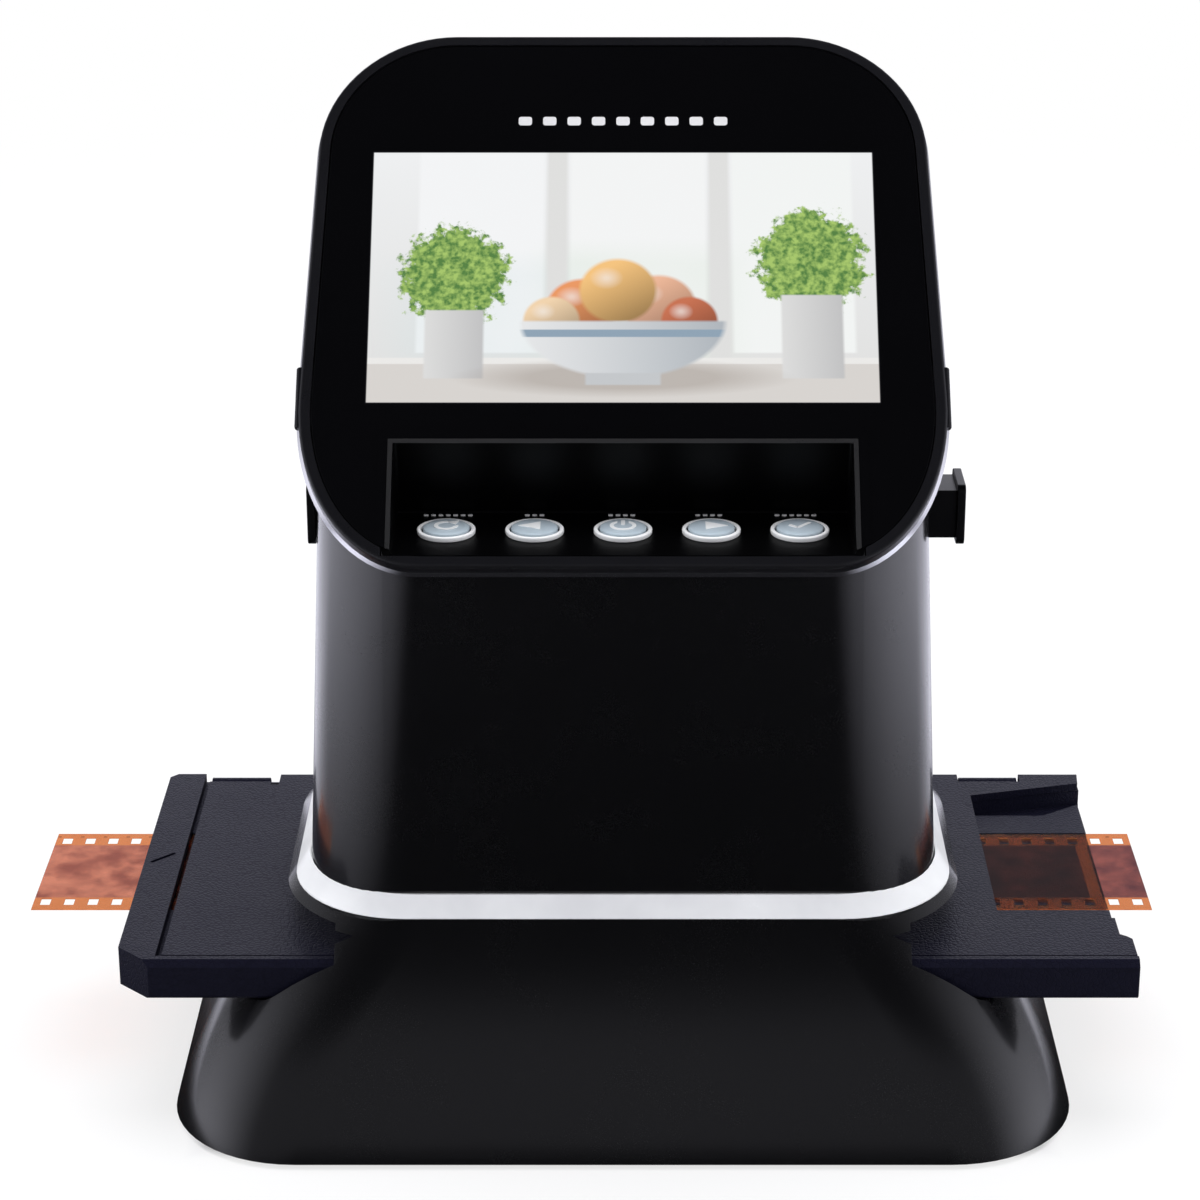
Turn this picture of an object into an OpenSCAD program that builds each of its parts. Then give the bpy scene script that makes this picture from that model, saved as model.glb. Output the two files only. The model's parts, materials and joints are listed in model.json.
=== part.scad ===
// Desktop film negative scanner.
// Frame: origin on the desk under the middle of the base, +X right, +Y back, +Z up.
// The film runs along X through the base; the optical axis is the line x = 0, y = 0.

/* [Base] */
// Width of the base at the desk
base_w = 175; // [165:1:210]
// Depth of the base at the desk
base_d = 130; // [120:1:160]
// Corner radius of the base at the desk
base_r = 25; // [15:1:34]
// Height of the skirt's lower edge over the desk
base_lift = 1; // [0.6:0.1:2]
// Height of the skirt's upper edge, where the trim ring starts
skirt_top = 41; // [39:0.5:60]
// Curve of the flare: 1 is a straight slope, more is fuller near the desk
flare = 1.4; // [1:0.1:2]
// Wall of the skirt, measured level
skirt_wall = 2.4; // [1.6:0.2:3.6]
// Thickness of the deck that closes the skirt's top
deck_t = 2.2; // [1.6:0.2:2.4]
// Thickness of the bottom plate
bottom_t = 2; // [1.4:0.2:3]
// Diameter of a rubber foot
foot_d = 12; // [8:1:14]

/* [Column and ring] */
// Width of the column at its foot
column_w = 122.6; // [118:0.2:136]
// Depth of the column at its foot
column_d = 76.6; // [72:0.2:90]
// Corner radius of the column
column_r = 20; // [12:1:24]
// Draft of the column's front and sides, in degrees
column_draft = 2.55; // [1:0.05:3]
// Wall of the column
column_wall = 2.2; // [1.6:0.2:3]
// How far the trim ring stands out below
ring_out = 3.1; // [2:0.1:5]
// Height of the trim ring
ring_h = 4; // [3:0.5:8]

/* [Head] */
// Tilt of the face from level, in degrees
face_tilt = 46; // [40:1:50]
// Height of the face's lower edge
face_z = 112.8; // [108:0.2:130]
// How far the face's lower edge stands out in front of the column
face_front_over = 5.7; // [4:0.1:8]
// How far the face's lower corners stand out beside the column
face_low_over = 2.6; // [1:0.1:5]
// How far the face's upper corners stand out beside the column
face_top_over = 4.4; // [1:0.1:6]
// Corner radius at the top of the face
face_r_top = 25.5; // [16:0.5:30]
// Width of the lower corners' curve
face_r_low = 24; // [16:0.5:28]
// Length of the lower corners' curve up the slope
face_r_rise = 34; // [24:1:38]
// Thickness of the head frame
frame_t = 3.5; // [3.2:0.1:5]
// Width of the frame's rim round the gloss panel
rim_w = 2.2; // [1.6:0.1:4]
// Thickness of the gloss front panel
panel_t = 1.4; // [1:0.1:1.6]

/* [Display] */
// Width of the display's window
screen_w = 97; // [85:1:98]
// Height of the display's window along the slope
screen_h = 54.3; // [44:0.1:56]
// Lower edge of the window, along the slope
screen_s = 33.5; // [33:0.5:36]
// Thickness of the display module
lcd_t = 2.6; // [2:0.1:3]

/* [Buttons] */
// Width of the button recess
recess_w = 86; // [84:1:88]
// Width of the raised lip round the recess
lip_w = 1.2; // [0.8:0.1:2]
// Upper edge of the button recess, along the slope
recess_s = 25.2; // [24:0.2:27]
// Height of the shelf that the buttons stand on
shelf_z = 114.4; // [113.6:0.1:115]
// Back of the shelf, behind the optical axis (negative is in front)
shelf_back = -16; // [-17:0.1:-15.5]
// Distance from button to button
button_pitch = 16.55; // [13:0.05:18]
// Diameter of a button cap
cap_d = 8.8; // [6:0.1:9.6]
// Wall of the ring round a button
button_ring_wall = 0.8; // [0.6:0.1:1.4]
// Travel of a button
button_travel = 0.8; // [0.4:0.1:0.9]

/* [Selector] */
// Thickness of the square selector bar
bar_t = 9.6; // [7:0.1:10]
// Height of the bar's middle
bar_z = 113; // [112.5:0.1:114]
// Distance of the bar's middle in front of the optical axis
bar_y = 8; // [7.6:0.1:8.4]
// Travel of the selector
selector_travel = 5; // [4:0.5:6]
// Side of the square end caps
selector_cap = 12; // [10.5:0.1:13]
// Thickness of the end caps
selector_cap_t = 1.6; // [1:0.1:2.4]
// Bore of the two lens cells in the carriage
cell_d = 4.2; // [3:0.1:4.4]

/* [Film tray] */
// Length of the tray
tray_len = 194.4; // [184:0.2:206]
// Width of the tray
tray_w = 87.4; // [84:0.2:88]
// Thickness of the closed tray
tray_t = 8; // [7:0.2:9]
// Height of the tray's underside over the desk
tray_z = 25; // [24:0.2:26]
// Length of the end bar, which is the grip
grip_len = 7.6; // [6:0.1:9]
// Thickness of the lid
lid_t = 1.6; // [1.4:0.1:2]
// Length of the open mouth at the tray's right end
mouth_len = 22.8; // [18:0.2:26]
// Width of the film
film_w = 35; // [35:1:35]
// Length of the film strip
film_len = 223.25; // [213.75:4.75:228]
// Pitch of the film's perforations
perf_pitch = 4.75; // [4.75:0.01:4.75]

/* [Clearances] */
// Gap between parts that slide on each other
slide_gap = 0.3; // [0.2:0.05:0.5]
// Gap round the tray in its slots, at the sides
slot_gap = 1.2; // [0.6:0.1:2]
// Room over the tray in its slots
slot_head = 5.5; // [4:0.5:7]
// Gap between fixed parts that fit in each other
fit_gap = 0.2; // [0.1:0.05:0.3]

/* [Hidden] */
$fn = 48;
eps = 0.01;

// Ring and column, from the skirt up
ring_top = skirt_top + ring_h;
ring_inner_w = column_w + 2 * fit_gap;
ring_inner_d = column_d + 2 * fit_gap;
ring_edge = 0.5;
ring_low_w = column_w + 2 * ring_out;
ring_low_d = column_d + 2 * ring_out;
body_top = 210;
// Half width and front of the drafted column at a height
function column_half(z) = column_w / 2 - max(0, z - ring_top) * tan(column_draft);
function column_front(z) = -column_d / 2 + max(0, z - ring_top) * tan(column_draft);

// Head: its face covers the column's cut top, and ends flush with the column's back
face_y = -column_front(face_z) + face_front_over;
face_len = (face_y + column_d / 2) / cos(face_tilt);
face_w_low = 2 * column_half(face_z) + 2 * face_low_over;
face_w_top = 2 * column_half(face_z + face_len * sin(face_tilt)) + 2 * face_top_over;
// The face: s runs up the slope, n stands out of it
function on_slope(s, n) = [
    -face_y + s * cos(face_tilt) - n * sin(face_tilt),
    face_z + s * sin(face_tilt) + n * cos(face_tilt)
];
pocket_depth = panel_t + 0.2;
lcd_w = screen_w + 3;
lcd_h = screen_h + 4.7;
lcd_s = screen_s + screen_h / 2 - lcd_h / 2;
lcd_n = -pocket_depth - 0.1;
bracket_n = lcd_n - lcd_t - 0.1;
bracket_t = 1.2;
main_n = bracket_n - bracket_t - 2.6;
main_t = 1.6;
// Grip pads on the slab's edges: start along the slope and length
pad_s = 29;
pad_len = 12.5;
frame_screws = [[-49, 25], [49, 25], [-28, 98], [28, 98]];

// Buttons, from the shelf down
shelf_t = 1.5;
lip_h = 0.35;
button_y = -27;
button_xs = [for (i = [-2:2]) i * button_pitch];
cap_bore = cap_d + 2 * slide_gap;
button_ring_d = cap_bore + 2 * button_ring_wall;
cap_top = shelf_z + 1.5;
cap_flange_d = cap_d + 1.8;
cap_flange_top = shelf_z - shelf_t - slide_gap;
cap_flange_t = 0.9;
stem_low = cap_flange_top - cap_flange_t - 0.8;
plunger_top = stem_low - button_travel - slide_gap;
board_top = plunger_top - 1.8;
board_t = 1.6;
bosses = [for (x = [-1.5, 1.5]) [x * button_pitch, button_y + cap_d / 2 + 2]];
button_board_front = max(column_front(board_top) + column_wall + 0.6, button_y - 8);
button_board_d = 14.6;

// Selector and camera
bar_low = bar_z - bar_t / 2;
cell_plate_t = 3;
cell_back = 5.5;
// Inner face of an end cap that is pushed home against the column
cap_home = column_half(bar_z - selector_cap / 2) + slide_gap;
saddle_wall = 1;
tunnel_w = 60;
tunnel_d = 46;
tunnel_wall = 2;
// The tunnel ends under the button board; its saddles reach up to the bar
tunnel_top = board_top - board_t - fit_gap;
camera_z = 124.4;
barrel_d = 8;
barrel_low = bar_low + cell_plate_t + 0.6;
holder_low = 119;

// Tray, film and the slots they pass through
tray_left = -tray_len / 2 - 0.4;
tray_right = tray_left + tray_len;
horn_right = tray_right + 2.4;
tray_half = tray_w / 2;
tray_top = tray_z + tray_t;
groove_w = 1.2;
lid_left = tray_left + grip_len + groove_w;
front_rail = 2.6;
lid_front = -tray_half + front_rail + slide_gap;
mouth_left = tray_right - mouth_len;
mouth_front = -25;
mouth_back = tray_half - 11.1;
mouth_flare = 6.2;
// Inner corner of the finger catch at the tray's right front
horn_y = -tray_half + 9.7;
channel_w = film_w + 0.6;
pocket_y = channel_w / 2 + 2.2;
lid_low = tray_top - lid_t;
film_z = lid_low - slide_gap;
film_t = 0.2;
film_floor = film_z - film_t - slide_gap;
film_left = -117.9;
hinge_r = 1.7;
hinge_pin_r = 0.8;
hinge_y = tray_half - hinge_r - 0.2;
hinge_z = tray_top - hinge_r - 0.2;
base_knuckles = [[lid_left + 0.3, lid_left + 12.8], [tray_right - 24.4, tray_right - 12]];
notch_left = lid_left + 13.2;
notch_w = 1.7;
lid_knuckles = [[notch_left + notch_w, notch_left + 11.6], [tray_right - 11.2, tray_right - 6.2]];
detent_y = tray_half - 7.7;
frame_pitch = 38;
frame_w = 36.6;
frame_h = 24.6;
slot_w = tray_w + 2 * slot_gap;
slot_low = tray_z - 0.5;
slot_top = tray_top + slot_head;
slot_skin = 0.9;
slot_r = 2;
bed_top = tray_z - 0.4;
bed_t = 3;
gate_w = 52;
gate_d = 40;

// ---- shapes used by several parts ----

// Rounded rectangle made of true arcs
module soft_rect(w, d, r) {
    square([w - 2 * r, d], center = true);
    square([w, d - 2 * r], center = true);
    for (x = [-1, 1], y = [-1, 1])
        translate([x * (w / 2 - r), y * (d / 2 - r)]) circle(r);
}

module soft_plate(w, d, h, r) {
    linear_extrude(h) soft_rect(w, d, r);
}

// Outline of a rounded rectangle as points, n steps a corner
function outline(w, d, r, z, y0 = 0, n = 12) = [
    for (c = [0:3], i = [0:n])
        let (a = 90 * c + 90 * i / n)
        let (sx = (c == 0 || c == 3) ? 1 : -1)
        let (sy = c < 2 ? 1 : -1)
        [sx * (w / 2 - r) + r * cos(a), y0 + sy * (d / 2 - r) + r * sin(a), z]
];

// Closed skin over a stack of outlines, lowest first
module loft(rings) {
    n = len(rings[0]);
    last = len(rings) - 1;
    polyhedron(
        points = [for (r = rings) each r],
        faces = concat(
            [[for (i = [0:n - 1]) i]],
            [[for (i = [n - 1:-1:0]) last * n + i]],
            [for (k = [0:last - 1], i = [0:n - 1])
                [k * n + i, (k + 1) * n + i, (k + 1) * n + (i + 1) % n, k * n + (i + 1) % n]]
        ),
        convexity = 6
    );
}

// Share of the flare that is left at a height: 1 at the desk, 0 at the ring
function flare_at(z) = 1 - pow(max(z, 0) / skirt_top, flare);
function skirt_w(z) = ring_low_w + (base_w - ring_low_w) * flare_at(z);
function skirt_d(z) = ring_low_d + (base_d - ring_low_d) * flare_at(z);
function skirt_r(z) = column_r + 2 + (base_r - column_r - 2) * flare_at(z);

module skirt_body(inset, low, high) {
    steps = 9;
    loft([
        for (i = [0:steps])
            let (z = low + (high - low) * i / steps)
            outline(skirt_w(z) - 2 * inset, skirt_d(z) - 2 * inset, skirt_r(z) - inset, z)
    ]);
}

// The column's drafted body, straight at the back, shrunk by inset
module column_body(inset, low = skirt_top) {
    lean = tan(column_draft);
    w0 = column_w - 2 * inset;
    d0 = column_d - 2 * inset;
    loft([
        for (z = [low, ring_top, body_top])
            let (in = max(0, z - ring_top) * lean)
            outline(w0 - 2 * in, d0 - in, column_r - inset, z, in / 2)
    ]);
}

// Places what is drawn in x, s, n on the face
module on_face() {
    translate([0, -face_y, face_z]) rotate([face_tilt, 0, 0]) children();
}

// Outline of the head's face in its own plane, shrunk by inset
module face_outline(inset = 0) {
    offset(delta = -inset) hull() {
        for (x = [-1, 1]) {
            translate([x * (face_w_low / 2 - face_r_low), face_r_rise])
                scale([face_r_low, face_r_rise]) circle(1, $fn = 96);
            translate([x * (face_w_top / 2 - face_r_top), face_len - face_r_top])
                circle(face_r_top, $fn = 96);
        }
    }
}

module screw(d, head_d, head_h, length) {
    difference() {
        union() {
            cylinder(h = head_h, d = head_d);
            translate([0, 0, -length]) cylinder(h = length + eps, d = d);
        }
        translate([0, 0, head_h - 0.6]) {
            translate([-head_d / 3, -0.3, 0]) cube([head_d / 1.5, 0.6, 1]);
            translate([-0.3, -head_d / 3, 0]) cube([0.6, head_d / 1.5, 1]);
        }
    }
}

// ---- base ----

skirt_screws = [for (x = [-1, 1], y = [-1, 1]) [x * (base_w / 2 - 19.5), y * (base_d / 2 - 17)]];
plate_low = base_lift + 0.4;
plate_top = plate_low + bottom_t;
feet = [for (x = [-1, 1], y = [-1, 1]) [x * (base_w / 2 - 19.5), y * (base_d / 2 - 33)]];
bed_posts = [for (x = [-1, 1], y = [-1, 1]) [x * 50, y * (tray_half - 5.7)]];

module tray_slots() {
    for (side = [0, 1])
        mirror([side, 0, 0])
            translate([column_w / 2 - 6, 0, (slot_low + slot_top) / 2])
                rotate([90, 0, 90])
                    soft_plate(slot_w, slot_top - slot_low, 60, slot_r);
}

// The skirt's inner face is hollowed beside the tray, where its corners come close
module tray_relief() {
    intersection() {
        skirt_body(slot_skin, base_lift, skirt_top - deck_t);
        translate([-column_w / 2, -slot_w / 2, slot_low])
            cube([column_w, slot_w, skirt_top - deck_t - slot_low - eps]);
    }
}

module base_skirt() color([0.035, 0.035, 0.04]) {
    difference() {
        union() {
            difference() {
                skirt_body(0, base_lift, skirt_top);
                skirt_body(skirt_wall, base_lift - 1, skirt_top - deck_t);
                translate([0, 0, skirt_top - 2 * deck_t])
                    soft_plate(tunnel_w - 6, tunnel_d - 6, 4 * deck_t, 2);
            }
            intersection() {
                skirt_body(0.5, base_lift, skirt_top);
                for (p = skirt_screws)
                    translate([p.x, p.y, plate_top]) cylinder(h = 40, d = 7);
            }
        }
        tray_slots();
        tray_relief();
        for (p = skirt_screws)
            translate([p.x, p.y, base_lift]) cylinder(h = 12, d = 2.6);
    }
}

module bottom_plate() color([0.06, 0.06, 0.065]) {
    inner_w = skirt_w(plate_top) - 2 * skirt_wall - 2 * fit_gap;
    inner_d = skirt_d(plate_top) - 2 * skirt_wall - 2 * fit_gap;
    difference() {
        union() {
            translate([0, 0, plate_low])
                soft_plate(inner_w, inner_d, bottom_t, skirt_r(plate_top) - skirt_wall - fit_gap);
            for (x = [-24, 24], y = [-17, 17])
                translate([x, y, plate_top - eps]) cylinder(h = 2.6 + eps, d = 5);
        }
        for (p = feet)
            translate([p.x, p.y, plate_low - 1]) cylinder(h = 1.8, d = foot_d + 2 * fit_gap);
        for (p = skirt_screws) {
            translate([p.x, p.y, plate_low - 1]) cylinder(h = 6, d = 3);
            translate([p.x, p.y, plate_low - 1]) cylinder(h = 2, d = 5.8);
        }
        for (x = [-66:6:-42], side = [-1, 1])
            translate([side * x - 1.2, -14, plate_low - 1]) cube([2.4, 28, 4]);
    }
}

module rubber_feet() color([0.02, 0.02, 0.02])
    for (p = feet)
        translate([p.x, p.y, 0]) {
            cylinder(h = 0.4, d1 = foot_d - 0.8, d2 = foot_d);
            translate([0, 0, 0.4]) cylinder(h = plate_low + 0.4, d = foot_d);
        }

module bottom_screws() color([0.55, 0.55, 0.58])
    for (p = skirt_screws)
        translate([p.x, p.y, plate_low + 1]) mirror([0, 0, 1])
            screw(2.4, 5.2, 0.9, 8);

module trim_ring() color([0.86, 0.87, 0.9])
    difference() {
        loft([
            outline(ring_low_w, ring_low_d, column_r + 2, skirt_top),
            outline(ring_low_w, ring_low_d, column_r + 2, skirt_top + 0.3),
            outline(ring_inner_w + 2 * ring_edge, ring_inner_d + 2 * ring_edge,
                column_r + fit_gap + ring_edge, ring_top)
        ]);
        loft([
            outline(ring_inner_w, ring_inner_d, column_r + fit_gap, skirt_top - 1),
            outline(ring_inner_w, ring_inner_d, column_r + fit_gap, ring_top + 1)
        ]);
    }

// Bed that the tray slides on, with the light gate in its middle
module film_bed() color([0.05, 0.05, 0.055])
    difference() {
        union() {
            translate([0, 0, bed_top - bed_t]) soft_plate(124, tray_w + 6, bed_t, 4);
            for (y = [-1, 1])
                translate([-48, y * (tray_half + slide_gap + 1.2) - 1.2, bed_top - eps])
                    cube([96, 2.4, 5]);
            for (p = bed_posts)
                translate([p.x, p.y, plate_top]) cylinder(h = bed_top - bed_t - plate_top + eps, d = 8);
        }
        translate([-gate_w / 2, -gate_d / 2, bed_top - 2.4]) cube([gate_w, gate_d, 4]);
        translate([-gate_w / 2 + 3, -gate_d / 2 + 3, bed_top - bed_t - 1]) cube([gate_w - 6, gate_d - 6, 6]);
        for (x = [-frame_pitch, frame_pitch])
            translate([x, detent_y, bed_top - 2]) cylinder(h = 6, d = 5 + 2 * fit_gap);
    }

module diffuser_panel() color([0.95, 0.95, 0.93])
    translate([-gate_w / 2 + fit_gap, -gate_d / 2 + fit_gap, bed_top - 2.3])
        cube([gate_w - 2 * fit_gap, gate_d - 2 * fit_gap, 2]);

// White box that spreads the light under the gate
module light_box() color([0.92, 0.92, 0.92])
    translate([0, 0, plate_top + 4.4])
        difference() {
            soft_plate(gate_w + 6, gate_d + 6, bed_top - bed_t - plate_top - 4.6, 2);
            translate([0, 0, -1]) soft_plate(gate_w + 3, gate_d + 3, 40, 1);
        }

module led_board() color([0.1, 0.28, 0.16])
    translate([0, 0, plate_top + 2.7])
        difference() {
            soft_plate(gate_w + 4, gate_d + 4, 1.6, 1);
            for (x = [-24, 24], y = [-17, 17])
                translate([x, y, -1]) cylinder(h = 4, d = 2.2);
        }

module backlight_leds() color([0.98, 0.95, 0.7])
    for (x = [-18:9:18], y = [-12:8:12])
        translate([x - 1.4, y - 1.75, plate_top + 4.35]) cube([2.8, 3.5, 0.8]);

// Two sprung buttons that catch the tray's notches, one for each end frame
module tray_detents() color([0.75, 0.75, 0.78])
    for (x = [-frame_pitch, frame_pitch])
        translate([x, detent_y, 0]) {
            translate([0, 0, bed_top - 1.9]) cylinder(h = 1, d = 5);
            intersection() {
                translate([0, 0, bed_top - 2.2]) sphere(d = 4.6);
                translate([-3, -3, bed_top - 1]) cube([6, 6, 0.9]);
            }
        }

// ---- column ----

catch_z = skirt_top + 16;
catch_h = 12;
port_z = 58;

module column_shell() color([0.03, 0.03, 0.035]) {
    window = bar_t + 2 * slide_gap;
    difference() {
        union() {
            difference() {
                column_body(0);
                column_body(column_wall, skirt_top - 1);
            }
            intersection() {
                column_body(0.4);
                for (x = [-1, 1], y = [-1, 1])
                    translate([x * (column_w / 2 - 9), y * (column_d / 2 - 9), skirt_top])
                        cylinder(h = 9, d = 6);
            }
        }
        on_face() translate([-150, -160, -frame_t]) cube([300, 400, 300]);
        translate([-100, -bar_y - window / 2, bar_z - window / 2]) cube([200, window, window]);
        for (side = [-1, 1])
            translate([side * column_w / 2, 0, catch_z + catch_h / 2])
                cube([7, 7, catch_h + 0.4], center = true);
        // the front wall stops short under the button recess
        translate([-recess_w / 2 - shelf_t - fit_gap, -column_d, shelf_z - shelf_t - fit_gap])
            cube([recess_w + 2 * shelf_t + 2 * fit_gap, column_d - 20, 60]);
        for (x = button_xs)
            translate([x, button_y, stem_low - 1]) cylinder(h = 9, d = cap_flange_d + 4 * slide_gap);
        translate([-26, 0, port_z]) rotate([-90, 0, 0]) linear_extrude(80) soft_rect(9.6, 3.8, 1.6);
        translate([-4, 0, port_z]) rotate([-90, 0, 0]) linear_extrude(80) square([12, 4], center = true);
        translate([24, 0, port_z]) rotate([-90, 0, 0]) linear_extrude(80) square([25, 3], center = true);
        for (i = [0:5], x = [-1, 1])
            translate([x * (14 + 5 * i) - 0.9, 20, 128]) cube([1.8, 40, 14]);
    }
}

// Snap catches that hold the column to the base, one in each side's window
module side_catches() color([0.05, 0.05, 0.055])
    for (side = [0, 1])
        mirror([side, 0, 0]) {
            outer = column_half(catch_z + catch_h) - 0.3;
            inner = column_half(catch_z + catch_h + 4) - column_wall - fit_gap;
            // tongue up from the deck, inside the wall
            translate([inner - 1.5, -3.2, skirt_top]) cube([1.5, 6.4, catch_z + catch_h + 4 - skirt_top]);
            // nose in the wall's window, scooped for a fingertip in its upper half
            translate([0, 3.2, catch_z]) rotate([90, 0, 0]) linear_extrude(6.4)
                difference() {
                    translate([inner - eps, 1.4]) square([outer - inner, catch_h - 1.4]);
                    translate([outer + 3.4, catch_h - 4.4]) circle(4.4);
                }
        }

// ---- head ----

module head_frame() color([0.09, 0.09, 0.1])
    difference() {
        union() {
            on_face() hull() {
                translate([0, 0, -0.7]) linear_extrude(0.7) face_outline(0.6);
                translate([0, 0, -frame_t + 0.9]) linear_extrude(frame_t - 1.6) face_outline();
                translate([0, 0, -frame_t]) linear_extrude(0.5) face_outline(0.6);
            }
            // grip pads on both edges of the slab
            on_face() for (side = [-1, 1])
                translate([side * (face_w_low / 2 - 1.4), pad_s, -frame_t / 2]) rotate([-90, 0, 0])
                    soft_plate(4.2, frame_t - 1.4, pad_len, 0.8);
            difference() {
                intersection() {
                    column_body(column_wall + fit_gap);
                    on_face() translate([-80, -10, -frame_t - 4]) cube([160, 140, 4.5]);
                }
                column_body(column_wall + fit_gap + 1.6);
            }
        }
        on_face() {
            translate([0, 0, -pocket_depth]) linear_extrude(5) face_outline(rim_w);
            translate([-lcd_w / 2 - fit_gap, lcd_s - fit_gap, -20])
                cube([lcd_w + 2 * fit_gap, lcd_h + 2 * fit_gap, 30]);
            translate([-recess_w / 2 - shelf_t - fit_gap, rim_w + 0.1, -20])
                cube([recess_w + 2 * shelf_t + 2 * fit_gap, recess_s + shelf_t + fit_gap - rim_w - 0.1, 30]);
            for (p = frame_screws)
                translate([p.x, p.y, -8]) cylinder(h = 6.2, d = 1.7);
        }
    }

// Gloss sheet over the head, open for the display and the buttons
module front_panel() color([0.01, 0.01, 0.012])
    on_face() translate([0, 0, -pocket_depth]) linear_extrude(panel_t)
        difference() {
            face_outline(rim_w + fit_gap);
            translate([-screen_w / 2, screen_s]) square([screen_w, screen_h]);
            translate([-recess_w / 2 - shelf_t - fit_gap, 0])
                square([recess_w + 2 * shelf_t + 2 * fit_gap, recess_s + shelf_t + fit_gap]);
        }

module lcd_module() color([0.5, 0.55, 0.6])
    on_face() translate([-lcd_w / 2, lcd_s, lcd_n - lcd_t]) {
        difference() {
            cube([lcd_w, lcd_h, lcd_t]);
            translate([(lcd_w - screen_w) / 2 + 0.6, (lcd_h - screen_h) / 2 + 0.2, lcd_t - 0.3])
                cube([screen_w - 1.2, screen_h - 0.4, 1]);
        }
        translate([(lcd_w - screen_w) / 2 + 0.6, (lcd_h - screen_h) / 2 + 0.2, lcd_t - 0.3 - eps])
            cube([screen_w - 1.2, screen_h - 0.4, 0.2]);
    }

// Plate behind the display, screwed to the head frame
module lcd_bracket() color([0.62, 0.63, 0.65])
    on_face() translate([0, 0, bracket_n - bracket_t])
        difference() {
            union() {
                translate([-47, lcd_s + 1, 0]) cube([94, lcd_h - 4, bracket_t]);
                for (p = frame_screws) {
                    translate([p.x, p.y, 0]) cylinder(h = bracket_t, d = 6);
                    translate([p.x > 0 ? p.x - 8 : p.x, p.y > 60 ? p.y - 14 : p.y, 0])
                        cube([8, p.y > 60 ? 14 : 10, bracket_t]);
                }
                for (x = [-36, 36], s = [lcd_s + 8, lcd_s + lcd_h - 10])
                    translate([x, s, -2.5]) cylinder(h = 2.6, d = 4.4);
            }
            for (p = frame_screws)
                translate([p.x, p.y, -1]) cylinder(h = 4, d = 2.2);
            translate([-30, lcd_s + 14, -1]) cube([60, lcd_h - 30, 4]);
        }

module head_screws() color([0.6, 0.6, 0.62])
    on_face() for (p = frame_screws)
        translate([p.x, p.y, bracket_n - bracket_t]) mirror([0, 0, 1]) screw(1.6, 3.4, 1, 3.6);

module main_board() color([0.07, 0.25, 0.15])
    on_face() translate([-44, lcd_s + 4, main_n - main_t])
        difference() {
            cube([88, 50, main_t]);
            for (x = [8, 80], s = [4, 45])
                translate([x, s, -1]) cylinder(h = 4, d = 2.2);
        }

// Chips on the main board: place across and up, width and length
chips = [[-28, 10, 14, 14], [-6, 28, 10, 12], [20, 32, 9, 9], [22, 14, 8, 10], [-30, 32, 6, 5]];
module board_chips() color([0.04, 0.04, 0.04])
    on_face() for (c = chips)
        translate([c[0], lcd_s + c[1], main_n - main_t - 1.25]) cube([c[2], c[3], 1.2]);

// ---- buttons ----

// Side profile of the recess: level shelf in front, leaning wall behind
function recess_profile(wall) = let (
    lip = on_slope(rim_w + 0.3, 0),
    top = on_slope(recess_s, 0),
    top_out = on_slope(recess_s + wall, 0),
    low = shelf_z - wall,
    lip_n = (low - lip[1]) / cos(face_tilt)
) [lip, on_slope(rim_w + 0.3, lip_n), [shelf_back + wall, low], [shelf_back + wall, shelf_z], top_out, top,
    [shelf_back, shelf_z], [lip[0] + (lip[1] - shelf_z) * tan(face_tilt), shelf_z]];

module button_tray() color([0.02, 0.02, 0.024]) {
    w = recess_w + 2 * shelf_t;
    lip = on_slope(rim_w + 0.3, 0);
    top = on_slope(recess_s + shelf_t, 0);
    difference() {
        union() {
            translate([-w / 2, 0, 0]) rotate([90, 0, 90])
                linear_extrude(w) polygon(recess_profile(shelf_t));
            for (x = [-w / 2, w / 2 - shelf_t])
                translate([x, 0, 0]) rotate([90, 0, 90]) linear_extrude(shelf_t)
                    polygon([lip, on_slope(rim_w + 0.3, (shelf_z - shelf_t - lip[1]) / cos(face_tilt)),
                        [shelf_back + shelf_t, shelf_z - shelf_t], [shelf_back + shelf_t, shelf_z], top]);
            for (p = bosses)
                translate([p.x, p.y, board_top])
                    cylinder(h = shelf_z - shelf_t - board_top + eps, d = 4.4);
            // raised lip that covers the gap to the gloss panel, open at the front
            on_face() translate([0, 0, panel_t - pocket_depth + 0.02]) linear_extrude(lip_h)
                difference() {
                    intersection() {
                        translate([-w / 2 - lip_w, rim_w + 0.5])
                            square([w + 2 * lip_w, recess_s + shelf_t + lip_w - rim_w - 0.5]);
                        face_outline(rim_w + fit_gap);
                    }
                    translate([-recess_w / 2, -5]) square([recess_w, recess_s + 5]);
                }
        }
        for (x = button_xs)
            translate([x, button_y, shelf_z - 4]) cylinder(h = 8, d = cap_bore);
        for (p = bosses)
            translate([p.x, p.y, board_top - 1]) cylinder(h = 4, d = 1.7);
    }
}

module button_rings() color([0.95, 0.95, 0.96])
    for (x = button_xs)
        translate([x, button_y, shelf_z])
            rotate_extrude()
                polygon([[cap_bore / 2, 0], [button_ring_d / 2, 0], [button_ring_d / 2, 0.5],
                    [button_ring_d / 2 - 0.4, 1], [cap_bore / 2, 1]]);

// Cap, retaining flange and stem of one button
module button_cap(i)
    translate([button_xs[i], button_y, 0]) {
        rotate_extrude()
            polygon([[0, stem_low], [1.5, stem_low], [1.5, cap_flange_top - cap_flange_t],
                [cap_flange_d / 2, cap_flange_top - cap_flange_t], [cap_flange_d / 2, cap_flange_top],
                [cap_d / 2, cap_flange_top], [cap_d / 2, cap_top - 0.4], [cap_d / 2 - 0.5, cap_top],
                [0, cap_top + 0.15]]);
    }

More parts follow.
